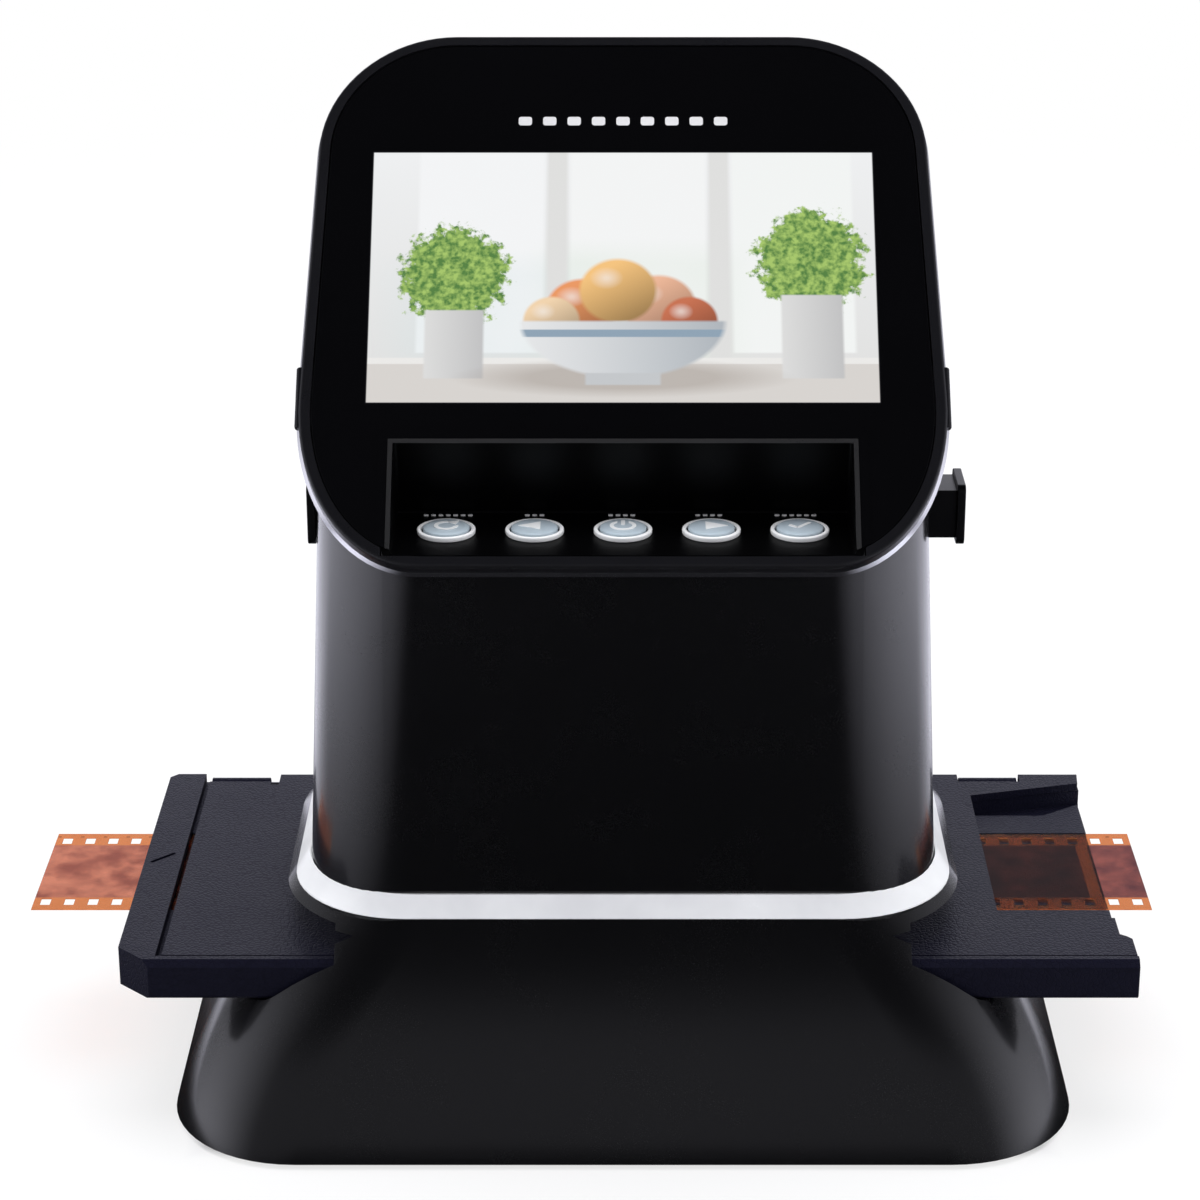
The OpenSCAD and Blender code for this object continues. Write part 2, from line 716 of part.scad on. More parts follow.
cap_colour = [0.72, 0.82, 0.88];
module button_mode() color(cap_colour) button_cap(0);
module button_left() color(cap_colour) button_cap(1);
module button_power() color(cap_colour) button_cap(2);
module button_right() color(cap_colour) button_cap(3);
module button_ok() color(cap_colour) button_cap(4);

module button_board() color([0.07, 0.25, 0.15])
    difference() {
        translate([-42, button_board_front, board_top - board_t]) cube([84, button_board_d, board_t]);
        for (p = bosses)
            translate([p.x, p.y, board_top - board_t - 1]) cylinder(h = 4, d = 2.2);
    }

module button_switches() color([0.2, 0.2, 0.22])
    for (x = button_xs)
        translate([x, button_y, board_top]) {
            translate([-3, -3, 0]) cube([6, 6, 1.2]);
            cylinder(h = plunger_top - board_top, d = 2.6);
        }

// ---- optics ----

// Dark tunnel between the film gate and the lens; the selector runs in saddles on its top
module optics_tunnel() color([0.025, 0.025, 0.028]) {
    groove = bar_t + 2 * slide_gap;
    difference() {
        union() {
            translate([0, 0, skirt_top]) soft_plate(tunnel_w, tunnel_d, tunnel_top - skirt_top, 3);
            translate([0, 0, skirt_top]) soft_plate(tunnel_w + 12, tunnel_d + 12, 2.4, 3);
            for (x = [-26, 20])
                translate([x, -bar_y - groove / 2 - saddle_wall, tunnel_top - eps])
                    cube([6, groove + 2 * saddle_wall, bar_z - tunnel_top]);
        }
        translate([0, 0, skirt_top - 1])
            soft_plate(tunnel_w - 2 * tunnel_wall, tunnel_d - 2 * tunnel_wall, tunnel_top - skirt_top - 1, 2);
        translate([0, 0, tunnel_top - 4]) cylinder(h = 8, d = 12);
        translate([-40, -bar_y - groove / 2, bar_low - slide_gap]) cube([80, groove, 30]);
        for (x = [-1, 1], y = [-1, 1])
            translate([x * (tunnel_w / 2 + 3), y * (tunnel_d / 2 + 3), skirt_top - 1]) cylinder(h = 5, d = 3);
    }
}

module tunnel_screws() color([0.6, 0.6, 0.62])
    for (x = [-1, 1], y = [-1, 1])
        translate([x * (tunnel_w / 2 + 3), y * (tunnel_d / 2 + 3), skirt_top + 2.5])
            screw(2.4, 4.6, 1.4, 2.4);

// Bridge over the selector that carries the camera
module camera_bracket() color([0.62, 0.63, 0.65])
    difference() {
        union() {
            for (x = [-16, 14])
                translate([x, 4, tunnel_top]) cube([2, 14, camera_z - tunnel_top]);
            translate([-16, 4, camera_z - 1.5]) cube([32, 14, 1.5]);
            for (x = [-16, 9])
                translate([x, 4, tunnel_top]) cube([7, 14, 1.5]);
        }
        translate([0, 0, camera_z - 4]) cube([16, 14.6, 12], center = true);
    }

module camera_board() color([0.07, 0.25, 0.15])
    translate([-12, -9, camera_z]) cube([24, 24, 1.2]);

module image_sensor() color([0.15, 0.15, 0.2])
    translate([-4.2, -3.4, camera_z - 1]) cube([8.4, 6.8, 1]);

module lens_holder() color([0.03, 0.03, 0.03])
    difference() {
        translate([-6.5, -6.5, holder_low]) cube([13, 13, camera_z - holder_low]);
        translate([0, 0, holder_low - 1]) cylinder(h = camera_z - holder_low - 1.4 + 1, d = barrel_d + 0.1);
        translate([-5, -4.2, camera_z - 2.4]) cube([10, 8.4, 4]);
    }

module lens_barrel() color([0.04, 0.04, 0.04])
    translate([0, 0, barrel_low])
        difference() {
            cylinder(h = camera_z - 2.6 - barrel_low, d = barrel_d);
            translate([0, 0, -1]) cylinder(h = 30, d = 4.4);
            translate([0, 0, -eps]) cylinder(h = 1.2, d1 = 6.4, d2 = 4.4);
        }

module lens_glass() color([0.6, 0.7, 0.85])
    translate([0, 0, barrel_low + 2])
        rotate_extrude()
            polygon([[0, -0.5], [1, -0.44], [1.9, -0.2], [2.15, 0], [2.15, 1.2], [0, 1.2]]);

// ---- selector ----

module selector_bar() color([0.03, 0.03, 0.033]) {
    left = -cap_home;
    right = cap_home + selector_travel;
    difference() {
        union() {
            translate([left, -bar_y - bar_t / 2, bar_low]) cube([right - left, bar_t, bar_t]);
            translate([-6, -bar_y, bar_low]) cube([17, bar_y + cell_back, cell_plate_t]);
        }
        translate([-6, -bar_y - bar_t, bar_low + cell_plate_t]) cube([17, 2 * bar_t, bar_t]);
        for (x = [0, selector_travel])
            translate([x, 0, bar_low - 1]) cylinder(h = 8, d = cell_d);
        for (x = [-52:12:-28])
            translate([x, -bar_y - bar_t / 2 + 1.6, bar_low + 1.6]) cube([10, bar_t - 3.2, bar_t]);
        for (x = [30:12:42])
            translate([x, -bar_y - bar_t / 2 + 1.6, bar_low + 1.6]) cube([10, bar_t - 3.2, bar_t]);
    }
}

module close_up_lens() color([0.6, 0.7, 0.85])
    translate([selector_travel, 0, bar_low + 0.5])
        rotate_extrude()
            polygon([[0, -0.3], [1, -0.22], [2, 0.1], [cell_d / 2 - 0.02, 0.2],
                [cell_d / 2 - 0.02, 1.6], [0, 1.6]]);

module selector_plate(x)
    translate([x, -bar_y, bar_z]) rotate([0, 90, 0])
        difference() {
            soft_plate(selector_cap, selector_cap, selector_cap_t, 1.4);
            for (i = [-1:1])
                translate([-0.4 + i * 2.4, -4, selector_cap_t - 0.4]) cube([0.8, 8, 1]);
        }

module selector_cap_right() color([0.03, 0.03, 0.033])
    selector_plate(cap_home + selector_travel);

module selector_cap_left() color([0.03, 0.03, 0.033])
    mirror([1, 0, 0]) selector_plate(cap_home);

// ---- ports ----

port_y = column_d / 2 - 0.6;
module usb_port() color([0.7, 0.7, 0.72])
    translate([-26, port_y, port_z]) rotate([90, 0, 0])
        difference() {
            soft_plate(8.9, 3.2, 7.4, 1.5);
            translate([0, 0, -1]) soft_plate(8.3, 2.6, 7, 1.2);
        }

module hdmi_port() color([0.7, 0.7, 0.72])
    translate([-4, port_y, port_z]) rotate([90, 0, 0])
        difference() {
            translate([-5.6, -1.6, 0]) cube([11.2, 3.2, 7.4]);
            translate([-5.2, -1.2, -1]) cube([10.4, 2.4, 7]);
        }

module card_slot() color([0.7, 0.7, 0.72])
    translate([24, port_y, port_z]) rotate([90, 0, 0])
        difference() {
            translate([-12.2, -1.2, 0]) cube([24.4, 2.4, 8]);
            translate([-11.8, -0.8, -1]) cube([23.6, 1.6, 8]);
        }

// ---- tray ----

// Plan of the tray's base: grip with a cut corner at the left, open film mouth at the right
base_plan = [
    [tray_left, -tray_half + 6.2], [tray_left + 6.4, -tray_half], [horn_right, -tray_half],
    [horn_right, horn_y], [horn_right - 1, horn_y + 1.2], [tray_right, horn_y + 2],
    [tray_right, mouth_back + 0.4], [tray_right + 1.2, mouth_back + mouth_flare],
    [tray_right + 1.2, tray_half], [tray_left + 1.6, tray_half], [tray_left, tray_half - 1.6]
];

// Edge profile of the base: the rail in front of the lid is bevelled
base_edge = [
    [-tray_half + 0.5, 0], [tray_half - 0.3, 0], [tray_half, 0.4], [tray_half, tray_t],
    [-tray_half + 1.2, tray_t], [-tray_half, tray_t - 1.2], [-tray_half, 0.6]
];

// Plan of the lid, with the mouth that shows the film's end
lid_plan = [
    [lid_left, lid_front], [horn_right - 0.2, lid_front], [horn_right - 0.2, horn_y],
    [horn_right - 1.2, horn_y + 1.2], [tray_right, horn_y + 2], [tray_right, mouth_front],
    [mouth_left, mouth_front], [mouth_left, mouth_back], [tray_right + 0.8, mouth_back + mouth_flare],
    [tray_right + 1.2, tray_half - 0.3], [lid_left, tray_half - 0.3]
];

// Film windows of three frames
module film_windows(low) {
    for (i = [-1:1])
        translate([i * frame_pitch - frame_w / 2, -frame_h / 2, low]) cube([frame_w, frame_h, 20]);
}

module along_x(from, to, r) {
    translate([from, hinge_y, hinge_z]) rotate([0, 90, 0]) cylinder(h = to - from, r = r);
}

module tray_base() color([0.15, 0.15, 0.19])
    difference() {
        union() {
            difference() {
                intersection() {
                    translate([0, 0, tray_z]) linear_extrude(tray_t) polygon(base_plan);
                    translate([-120, 0, tray_z]) rotate([90, 0, 90]) linear_extrude(260) polygon(base_edge);
                }
                // seat of the lid
                translate([lid_left - groove_w, lid_front - slide_gap, lid_low - slide_gap])
                    cube([220, 2 * tray_half, 20]);
            }
            for (h = base_knuckles) along_x(h[0], h[1], hinge_r);
        }
        // pockets in which the lid's knuckles turn
        for (h = lid_knuckles)
            along_x(h[0] - slide_gap, h[1] + slide_gap, hinge_r + slide_gap);
        // channel of the film, through the grip as well
        translate([tray_left - 5, -channel_w / 2, film_floor])
            cube([240, channel_w, film_z + slide_gap - film_floor]);
        film_windows(tray_z - 5);
        // trough behind the film's open end
        translate([0, 0, tray_top - 5]) linear_extrude(10)
            polygon([[mouth_left - 5, mouth_back - 6.1], [tray_right - 8, mouth_back - 6.1],
                [tray_right - 0.6, mouth_back - 0.9], [tray_right + 3, mouth_back - 0.1],
                [tray_right + 3, mouth_back + mouth_flare + 0.4],
                [tray_right + 0.9, mouth_back + mouth_flare + 0.4], [mouth_left - 5, mouth_back - 0.6]]);
        // lightening pockets from below
        for (x = [tray_left + 13.6:24:tray_right - 24.8], side = [0, 1])
            mirror([0, side, 0])
                translate([x, pocket_y, tray_z - 1]) cube([20, detent_y - 5 - pocket_y, 4.4]);
        // notches for the detents, one for each frame
        for (i = [-2:2])
            translate([i * frame_pitch, detent_y, tray_z - 1.4]) sphere(d = 4.8);
        translate([notch_left, hinge_y - 3.6, tray_z - 5]) cube([notch_w, 10, 20]);
        for (i = [0, 1])
            along_x(base_knuckles[i][0] + 1, lid_knuckles[i][1] + 1, hinge_pin_r + 0.02);
        // index mark on the grip
        translate([tray_left + 3.6, 2.2, tray_top - 0.4])
            rotate(44) translate([-3, -0.4, 0]) cube([6, 0.8, 2]);
    }

module tray_lid() color([0.16, 0.16, 0.2])
    difference() {
        union() {
            difference() {
                translate([0, 0, lid_low]) linear_extrude(lid_t) polygon(lid_plan);
                for (h = base_knuckles)
                    translate([h[0] - 0.3, hinge_y - hinge_r - slide_gap, lid_low - 5])
                        cube([h[1] - h[0] + 0.8, 20, 20]);
            }
            for (h = lid_knuckles) along_x(h[0], h[1], hinge_r);
        }
        film_windows(lid_low - 5);
        translate([notch_left, hinge_y - 3.6, tray_z - 5]) cube([notch_w, 10, 20]);
        for (h = lid_knuckles)
            along_x(h[0] - 1, h[1] + 1, hinge_pin_r + 0.15);
    }

module hinge_pins() color([0.7, 0.7, 0.72]) {
    along_x(base_knuckles[0][0] + 1, lid_knuckles[0][1] - 1, hinge_pin_r);
    along_x(base_knuckles[1][0] + 1, lid_knuckles[1][1] - 1, hinge_pin_r);
}

module film_strip() color([0.75, 0.36, 0.18])
    translate([film_left, 0, film_z - film_t])
        linear_extrude(film_t)
            difference() {
                translate([0, -film_w / 2]) square([film_len, film_w]);
                for (i = [0:round(film_len / perf_pitch) - 1], side = [-1, 1])
                    translate([(i + 0.5) * perf_pitch, side * (film_w / 2 - 3.4)])
                        square([2, 2.8], center = true);
            }

base_skirt();
bottom_plate();
rubber_feet();
bottom_screws();
trim_ring();
film_bed();
diffuser_panel();
light_box();
led_board();
backlight_leds();
tray_detents();
column_shell();
side_catches();
head_frame();
front_panel();
lcd_module();
lcd_bracket();
button_tray();
button_rings();
button_board();
button_switches();
main_board();
board_chips();
usb_port();
hdmi_port();
card_slot();
optics_tunnel();
camera_bracket();
camera_board();
image_sensor();
lens_holder();
lens_barrel();
lens_glass();
tunnel_screws();
head_screws();
button_mode();
button_left();
button_power();
button_right();
button_ok();
selector_bar();
close_up_lens();
selector_cap_right();
selector_cap_left();
tray_base();
tray_lid();
hinge_pins();
film_strip();
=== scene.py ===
# %% [markdown]
# # A desktop film scanner
# The real thing is a moulded box with a flared foot, a pale trim ring, an upright column and a tilted
# head with a display and five buttons. A tray with a strip of film slides through the foot.
# The CAD model already holds every part at its place, so this lesson dresses it: some parts keep their
# CAD shape and get a finish, and the big moulded skins are modelled again with soft edges.

# %% Load the frame
import json
import math
import bpy
import bmesh
from mathutils import Matrix, Vector


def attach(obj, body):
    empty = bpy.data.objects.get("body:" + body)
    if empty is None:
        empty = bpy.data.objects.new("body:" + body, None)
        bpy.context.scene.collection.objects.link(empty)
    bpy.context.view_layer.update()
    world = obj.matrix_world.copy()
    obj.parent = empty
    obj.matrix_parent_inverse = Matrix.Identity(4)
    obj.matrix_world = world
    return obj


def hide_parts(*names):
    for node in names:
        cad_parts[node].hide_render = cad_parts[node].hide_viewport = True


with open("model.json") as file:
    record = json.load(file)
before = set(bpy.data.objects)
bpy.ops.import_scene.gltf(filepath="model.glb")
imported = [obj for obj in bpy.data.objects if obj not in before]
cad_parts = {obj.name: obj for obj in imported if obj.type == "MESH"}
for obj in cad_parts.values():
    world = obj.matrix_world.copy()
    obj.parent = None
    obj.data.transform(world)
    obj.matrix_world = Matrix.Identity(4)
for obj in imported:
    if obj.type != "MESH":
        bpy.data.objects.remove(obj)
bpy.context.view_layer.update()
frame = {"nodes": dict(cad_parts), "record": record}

MM = 0.001
nodes = frame["nodes"]

# %% [markdown]
# ## The camera and the light
# A product like this is shown from a little above, straight from the front, with a long lens that
# keeps the sides upright. Five soft lamps light it. Glossy black has no colour of its own and needs pale
# things to mirror, so its shape is read from the room below and not from the lamps, which it doesn't see.

# %% Camera
VIEW_DOWN = math.radians(21.3)
OFF_CENTRE = 23 / 1200  # how far right of the middle the scanner stands, as a share of the picture
lens = bpy.data.cameras.new("front_lens")
lens.sensor_width = 36
lens.lens = 99
lens.shift_x = -OFF_CENTRE
camera = bpy.data.objects.new("front_camera", lens)
camera.location = (0, -0.6074, 0.3272)
camera.rotation_euler = (math.radians(90) - VIEW_DOWN, 0, 0)
bpy.context.scene.collection.objects.link(camera)
bpy.context.scene.camera = camera
print("camera", round(camera.location.length * 1000), "mm from the origin")


# %% Lamps
def panel_lamp(name, place, aim, size, power):
    """A soft lamp at a place, turned to a point, both in metres; polished parts don't mirror it."""
    data = bpy.data.lights.new(name, "AREA")
    data.shape = "RECTANGLE"
    data.size, data.size_y = size
    data.energy = power
    lamp = bpy.data.objects.new(name, data)
    lamp.visible_glossy = False
    lamp.location = place
    lamp.rotation_euler = (Vector(aim) - Vector(place)).to_track_quat("-Z", "Y").to_euler()
    bpy.context.scene.collection.objects.link(lamp)
    return lamp


panel_lamp("overhead", (0, 0.25, 1.1), (0, 0, 0.08), (0.9, 0.6), 10)
panel_lamp("left_panel", (-0.85, -0.1, 0.42), (0, 0, 0.1), (0.5, 0.8), 4.2)
panel_lamp("right_panel", (0.85, -0.1, 0.42), (0, 0, 0.1), (0.5, 0.8), 4.2)
panel_lamp("front_fill", (0.1, -1.3, 0.75), (0, 0, 0.08), (0.8, 0.5), 5)
panel_lamp("back_panel", (0, 1.0, 0.7), (0, 0, 0.1), (0.8, 0.5), 4)
print(len(bpy.data.lights), "lamps")

# %% [markdown]
# ## Node tools
# Finishes are drawn with nodes, and the room is too. Adding nodes one by one hides what they work out, so
# two small classes let the script write sums: a Value is a socket that can be added and multiplied, and a
# Finish adds the nodes and joins them to a material or a world.


# %% Values in sums
class Value:
    """A socket of a node tree that can be used in sums; each operator adds the node it needs."""

    def __init__(self, finish, socket):
        self.finish = finish
        self.socket = socket

    def maths(self, operation, *others, clamp=False):
        settings = {"operation": operation, "use_clamp": clamp}
        return self.finish.node("ShaderNodeMath", settings, dict(enumerate((self, *others))))

    def __add__(self, other):
        return self.maths("ADD", other)

    def __radd__(self, other):
        return self.maths("ADD", other)

    def __sub__(self, other):
        return self.maths("SUBTRACT", other)

    def __rsub__(self, other):
        return self.finish.node("ShaderNodeMath", {"operation": "SUBTRACT"}, {0: other, 1: self})

    def __mul__(self, other):
        return self.maths("MULTIPLY", other)

    def __rmul__(self, other):
        return self.maths("MULTIPLY", other)

    def __truediv__(self, other):
        return self.maths("DIVIDE", other)

    def __abs__(self):
        return self.maths("ABSOLUTE")

    def lowest(self, other):
        return self.maths("MINIMUM", other)

    def highest(self, other):
        return self.maths("MAXIMUM", other)

    def share(self, low, high):
        """0 at low, 1 at high, straight between them and flat outside; low may be over high."""
        return (self - low).maths("DIVIDE", high - low, clamp=True)

    def within(self, low, high, soft):
        """1 between low and high, 0 outside, with edges that are soft wide."""
        return self.share(low - soft, low).lowest(self.share(high + soft, high))


# %% Materials and worlds
class Finish:
    """A material or a world whose nodes are added from Python."""

    def __init__(self, name, tree=None):
        if tree is None:
            self.material = bpy.data.materials.new(name)
            self.material.use_nodes = True
            tree = self.material.node_tree
            self.shader = tree.nodes["Principled BSDF"]
            self.surface = tree.nodes["Material Output"].inputs["Surface"]
        self.tree = tree
        self._axes = None

    def node(self, kind, settings=None, values=None, out=0):
        """Adds a node: its settings first, then its sockets' values or links."""
        new = self.tree.nodes.new(kind)
        for key, value in (settings or {}).items():
            setattr(new, key, value)
        for key, value in (values or {}).items():
            self.join(value, new.inputs[key])
        return Value(self, new.outputs[out])

    def join(self, value, socket):
        if isinstance(value, Value):
            self.tree.links.new(value.socket, socket)
        elif isinstance(value, tuple) and len(value) == 3 and socket.type == "RGBA":
            socket.default_value = (*value, 1)
        else:
            socket.default_value = value

    def set(self, **sockets):
        """Sets or links sockets of the main shader; their names' spaces are written as underscores."""
        for key, value in sockets.items():
            self.join(value, self.shader.inputs[key.replace("_", " ")])
        return self

    @property
    def place(self):
        """The point on the piece, in metres."""
        return self.node("ShaderNodeTexCoord", out="Object")

    def axes(self):
        """x, y and z of the point in millimetres, each as a value."""
        if self._axes is None:
            split = self.tree.nodes.new("ShaderNodeSeparateXYZ")
            self.join(self.place, split.inputs[0])
            self._axes = [Value(self, s) * 1000 for s in split.outputs]
        return self._axes

    def noise(self, scale, detail=2, rough=0.5, place=None):
        """Soft noise from 0 to 1; scale is in spots per metre."""
        return self.node(
            "ShaderNodeTexNoise", None,
            {"Vector": place or self.place, "Scale": scale, "Detail": detail, "Roughness": rough},
        )

    def grooves(self, scale):
        """0 on the borders of cells like the pebbles of leather, rising inwards; scale is per metre."""
        return self.node(
            "ShaderNodeTexVoronoi", {"feature": "DISTANCE_TO_EDGE"},
            {"Vector": self.place, "Scale": scale}, out="Distance",
        )

    def ray(self, kind):
        """1 for light rays of a kind, such as Camera or Glossy, and 0 for all others."""
        return self.node("ShaderNodeLightPath", out=f"Is {kind} Ray")

    def mix(self, share, first, second):
        """A colour that goes from first to second as share goes from 0 to 1."""
        new = self.tree.nodes.new("ShaderNodeMix")
        new.data_type = "RGBA"
        for index, value in ((0, share), (6, first), (7, second)):
            self.join(value, new.inputs[index])
        return Value(self, new.outputs[2])

    def bump(self, height, distance, strength=1.0):
        """Raises the surface by height times distance, which is in metres."""
        return self.node(
            "ShaderNodeBump", None, {"Height": height, "Distance": distance, "Strength": strength}
        )


# %% [markdown]
# ## Room
# The room is white where the camera looks straight at it, and a plain grey for all other light.
# Polished plastic sees a room that is white at the sides and behind, and dark where the camera stands:
# that is what keeps the middle of a black product black while its round edges shine.

# %% Room
world = bpy.data.worlds.new("pale_room")
world.use_nodes = True
bpy.context.scene.world = world
bpy.context.scene.view_settings.view_transform = "Standard"
room = Finish("room", world.node_tree)
seen = room.ray("Camera").highest(room.ray("Transmission"))
mirrored = room.ray("Glossy")
look = room.node("ShaderNodeTexCoord", out="Generated")
sideways, backwards, upwards = (
    room.node("ShaderNodeSeparateXYZ", None, {0: look}, out=axis) for axis in ("X", "Y", "Z")
)
side_glow = abs(sideways).share(0.38, 1.0)
back_glow = backwards.share(-0.1, 0.8) * upwards.share(0.8, 0.4) * abs(sideways).share(0.92, 0.35)
front_glow = backwards.share(-0.3, -0.5) * upwards.within(0.1, 0.6, 0.12) * 0.12
bright = (side_glow * side_glow * side_glow).highest(back_glow).highest(front_glow)
AMBIENT, DARKEST = 0.32, 0.015
background = world.node_tree.nodes["Background"].inputs
room.join(room.mix(seen, (0.9, 0.9, 1), (1, 1, 1)), background["Color"])
room.join(
    seen.highest((1 - mirrored) * AMBIENT + mirrored * (bright + DARKEST)), background["Strength"]
)
print("room of", len(room.tree.nodes), "nodes")

# %% [markdown]
# ## Floor
# The floor is only a stage. It is white to the camera, but it still takes the soft shadow of the foot:
# its own plain white is mixed with a light that only the camera sees, straight or through clear parts.
# Polished plastic sees a floor that is dark near the foot and pale at the sides and behind, like the
# room above it.

# %% Floor
bpy.ops.object.select_all(action="DESELECT")
bpy.ops.mesh.primitive_plane_add(size=6, location=(0, 0, 0))
floor = bpy.context.object
floor.name = "floor"
desk = Finish("floor_white").set(Roughness=0.9)
desk_x, desk_y, _ = desk.axes()
sides = abs(desk_x).share(110, 400)
behind = desk_y.share(-20, 140) * abs(desk_x).share(70, 140)
in_gloss = desk.mix(sides.highest(behind), (0.005, 0.005, 0.006), (0.66, 0.66, 0.74))
desk.set(Base_Color=desk.mix(desk.ray("Glossy"), (0.86, 0.86, 0.87), in_gloss))
far = desk.node("ShaderNodeVectorMath", {"operation": "LENGTH"}, {0: desk.place}, out="Value")
under = abs(desk_x).share(84, 76).lowest(abs(desk_y).share(61, 53))
NEAR_GLOW = 0.72  # the rest is left to the shadow; far from the foot the glow is full
glow_share = far.share(0.3, 0.8) * (1 - NEAR_GLOW) + NEAR_GLOW
seen_desk = desk.ray("Camera").highest(desk.ray("Transmission"))
glow = desk.node("ShaderNodeEmission", None, {"Strength": 1})
blend = desk.node(
    "ShaderNodeMixShader", None,
    {0: seen_desk * glow_share * (1 - under), 1: Value(desk, desk.shader.outputs[0]), 2: glow},
)
desk.join(blend, desk.surface)
floor.data.materials.append(desk.material)
print("floor", tuple(round(d, 1) for d in floor.dimensions), "m")

# %% [markdown]
# ## Finishes
# Each moulded plastic gets three layers of detail: a colour that is never quite even, a roughness that
# changes where hands touch it, and a very fine bump left by the mould. The names of the finishes are
# the slots of the CAD record, so one finish serves every part of that slot.

# %% Plain moulded plastics
finishes = {}


def plastic(name, colour, rough, grain=0.00002, grain_scale=2600, spread=0.12, shine=0.5):
    """A moulded plastic with faint clouds in its colour and gloss, and a fine mould grain."""
    finish = finishes[name] = Finish(name)
    cloud = finish.noise(55, 3, 0.6)
    speck = finish.noise(grain_scale, 2, 0.5)
    dark = tuple(c * 0.82 for c in colour)
    light = tuple(min(1, c * 1.18) for c in colour)
    finish.set(
        Base_Color=finish.mix(cloud, dark, light),
        Roughness=(cloud - 0.5) * spread + (speck - 0.5) * (spread * 0.5) + rough,
        Normal=finish.bump(speck, grain),
    )
    finish.shader.inputs["Specular IOR Level"].default_value = shine
    return finish


plastic("satin_black", (0.0016, 0.0016, 0.002), 0.26, 0.000012, 3200)
plastic("inner_black", (0.005, 0.005, 0.006), 0.5, 0.00003, 1800, shine=0.3)
plastic("rim_grey", (0.0065, 0.0065, 0.008), 0.3, 0.00001, 3600)
plastic("ring_silver", (0.83, 0.84, 0.87), 0.26, 0.000008, 3000, spread=0.06)
plastic("ring_white", (0.86, 0.88, 0.9), 0.3, 0.000008, 3000, spread=0.06)
plastic("cap_blue", (0.42, 0.5, 0.56), 0.3, 0.000008, 3000, spread=0.08)
plastic("white_plastic", (0.8, 0.8, 0.79), 0.4)
plastic("chip_black", (0.012, 0.012, 0.013), 0.45)
plastic("foot_rubber", (0.012, 0.012, 0.012), 0.75, 0.00004, 1500)
plastic("board_green", (0.015, 0.1, 0.045), 0.35, 0.00003, 1200)
satin = finishes["satin_black"].shader.inputs
for socket, value in (("Coat Weight", 1), ("Coat Roughness", 0.15), ("Coat IOR", 1.65)):
    satin[socket].default_value = value
print(len(finishes), "moulded finishes")

# %% [markdown]
# The tray is moulded in a dark blue-grey with a leather grain: small flat pebbles with grooves between
# them. Cells whose borders are the grooves give that, and a slow noise keeps the pebbles uneven. The
# colour is painted darker in the grooves and lighter on the pebbles' tops: painted shade in the grain's
# creases. The gloss sits on the pebbles' tops, so roughness follows the same pattern.

# %% Leather-grained tray
def leather_grain(name, colour, rough):
    finish = finishes[name] = Finish(name)
    pebble = finish.grooves(1050).share(0.02, 0.16)
    fine = finish.noise(3800, 3, 0.6)
    cloud = finish.noise(38, 3, 0.6)
    worn = finish.noise(14, 4, 0.65).share(0.45, 0.75)
    # Painted shade: the grooves are darker and the pebbles' tops lighter than the plastic's own colour.
    groove_shade = tuple(c * 0.7 for c in colour)
    top = tuple(min(1, c * 1.25) for c in colour)
    finish.shader.inputs["Specular IOR Level"].default_value = 0.2
    finish.shader.inputs["Specular Tint"].default_value = (0.8, 0.8, 1, 1)
    finish.set(
        Base_Color=finish.mix(pebble * 0.5 + cloud * 0.5, groove_shade, top),
        Roughness=rough - pebble * 0.08 + (cloud - 0.5) * 0.14 - worn * 0.07,
        Normal=finish.bump(pebble + fine * 0.35, 0.00006, 0.75),
    )
    print(name, "of", len(finish.tree.nodes), "nodes")


leather_grain("tray_grain", (0.0065, 0.0065, 0.014), 0.46)

# %% [markdown]
# Metal parts are pressed or turned steel. Brushed lines are noise that is stretched along one axis.


# %% Steel
def brushed_steel():
    finish = Finish("steel")
    across = finish.node("ShaderNodeMapping", None, {"Vector": finish.place, "Scale": (200, 4200, 4200)})
    lines = finish.noise(1, 2, 0.5, across)
    finish.set(
        Base_Color=finish.mix(lines, (0.46, 0.46, 0.48), (0.66, 0.66, 0.67)),
        Metallic=1.0, Roughness=lines * 0.2 + 0.22, Normal=finish.bump(lines, 0.00001),
    )
    return finish


finishes["steel"] = brushed_steel()
print("steel of", len(finishes["steel"].tree.nodes), "nodes")

# %% [markdown]
# Light passes through the lens, and comes out of the diffuser and the LEDs. None of them is quite even.


# %% Clear and glowing parts
def clear_glass():
    finish = Finish("lens_clear")
    haze = finish.noise(400, 2)
    finish.set(
        Base_Color=finish.mix(haze, (0.9, 0.94, 1.0), (0.97, 0.98, 1.0)), Roughness=haze * 0.03 + 0.02
    )
    finish.shader.inputs["Transmission Weight"].default_value = 1
    finish.shader.inputs["IOR"].default_value = 1.52
    return finish


def glowing(name, colour, strength, rough=0.5):
    """A milky part that light comes through, a little uneven over its width."""
    finish = Finish(name)
    cloud = finish.noise(60, 2)
    finish.set(
        Base_Color=finish.mix(cloud, tuple(c * 0.94 for c in colour), colour),
        Emission_Color=finish.mix(cloud, tuple(c * 0.9 for c in colour), colour), Roughness=rough,
    )
    finish.shader.inputs["Emission Strength"].default_value = strength
    return finish


finishes["lens_clear"] = clear_glass()
finishes["diffuser"] = glowing("diffuser", (0.95, 0.95, 0.92), 0.35)
finishes["led_yellow"] = glowing("led_yellow", (0.95, 0.86, 0.4), 0.2, 0.3)
print(len(finishes), "finishes so far")

# %% [markdown]
# The head's front is one sheet of black glass-clear acrylic. It is nearly a mirror, with faint smears
# and a few specks of dust that only show in its gloss.

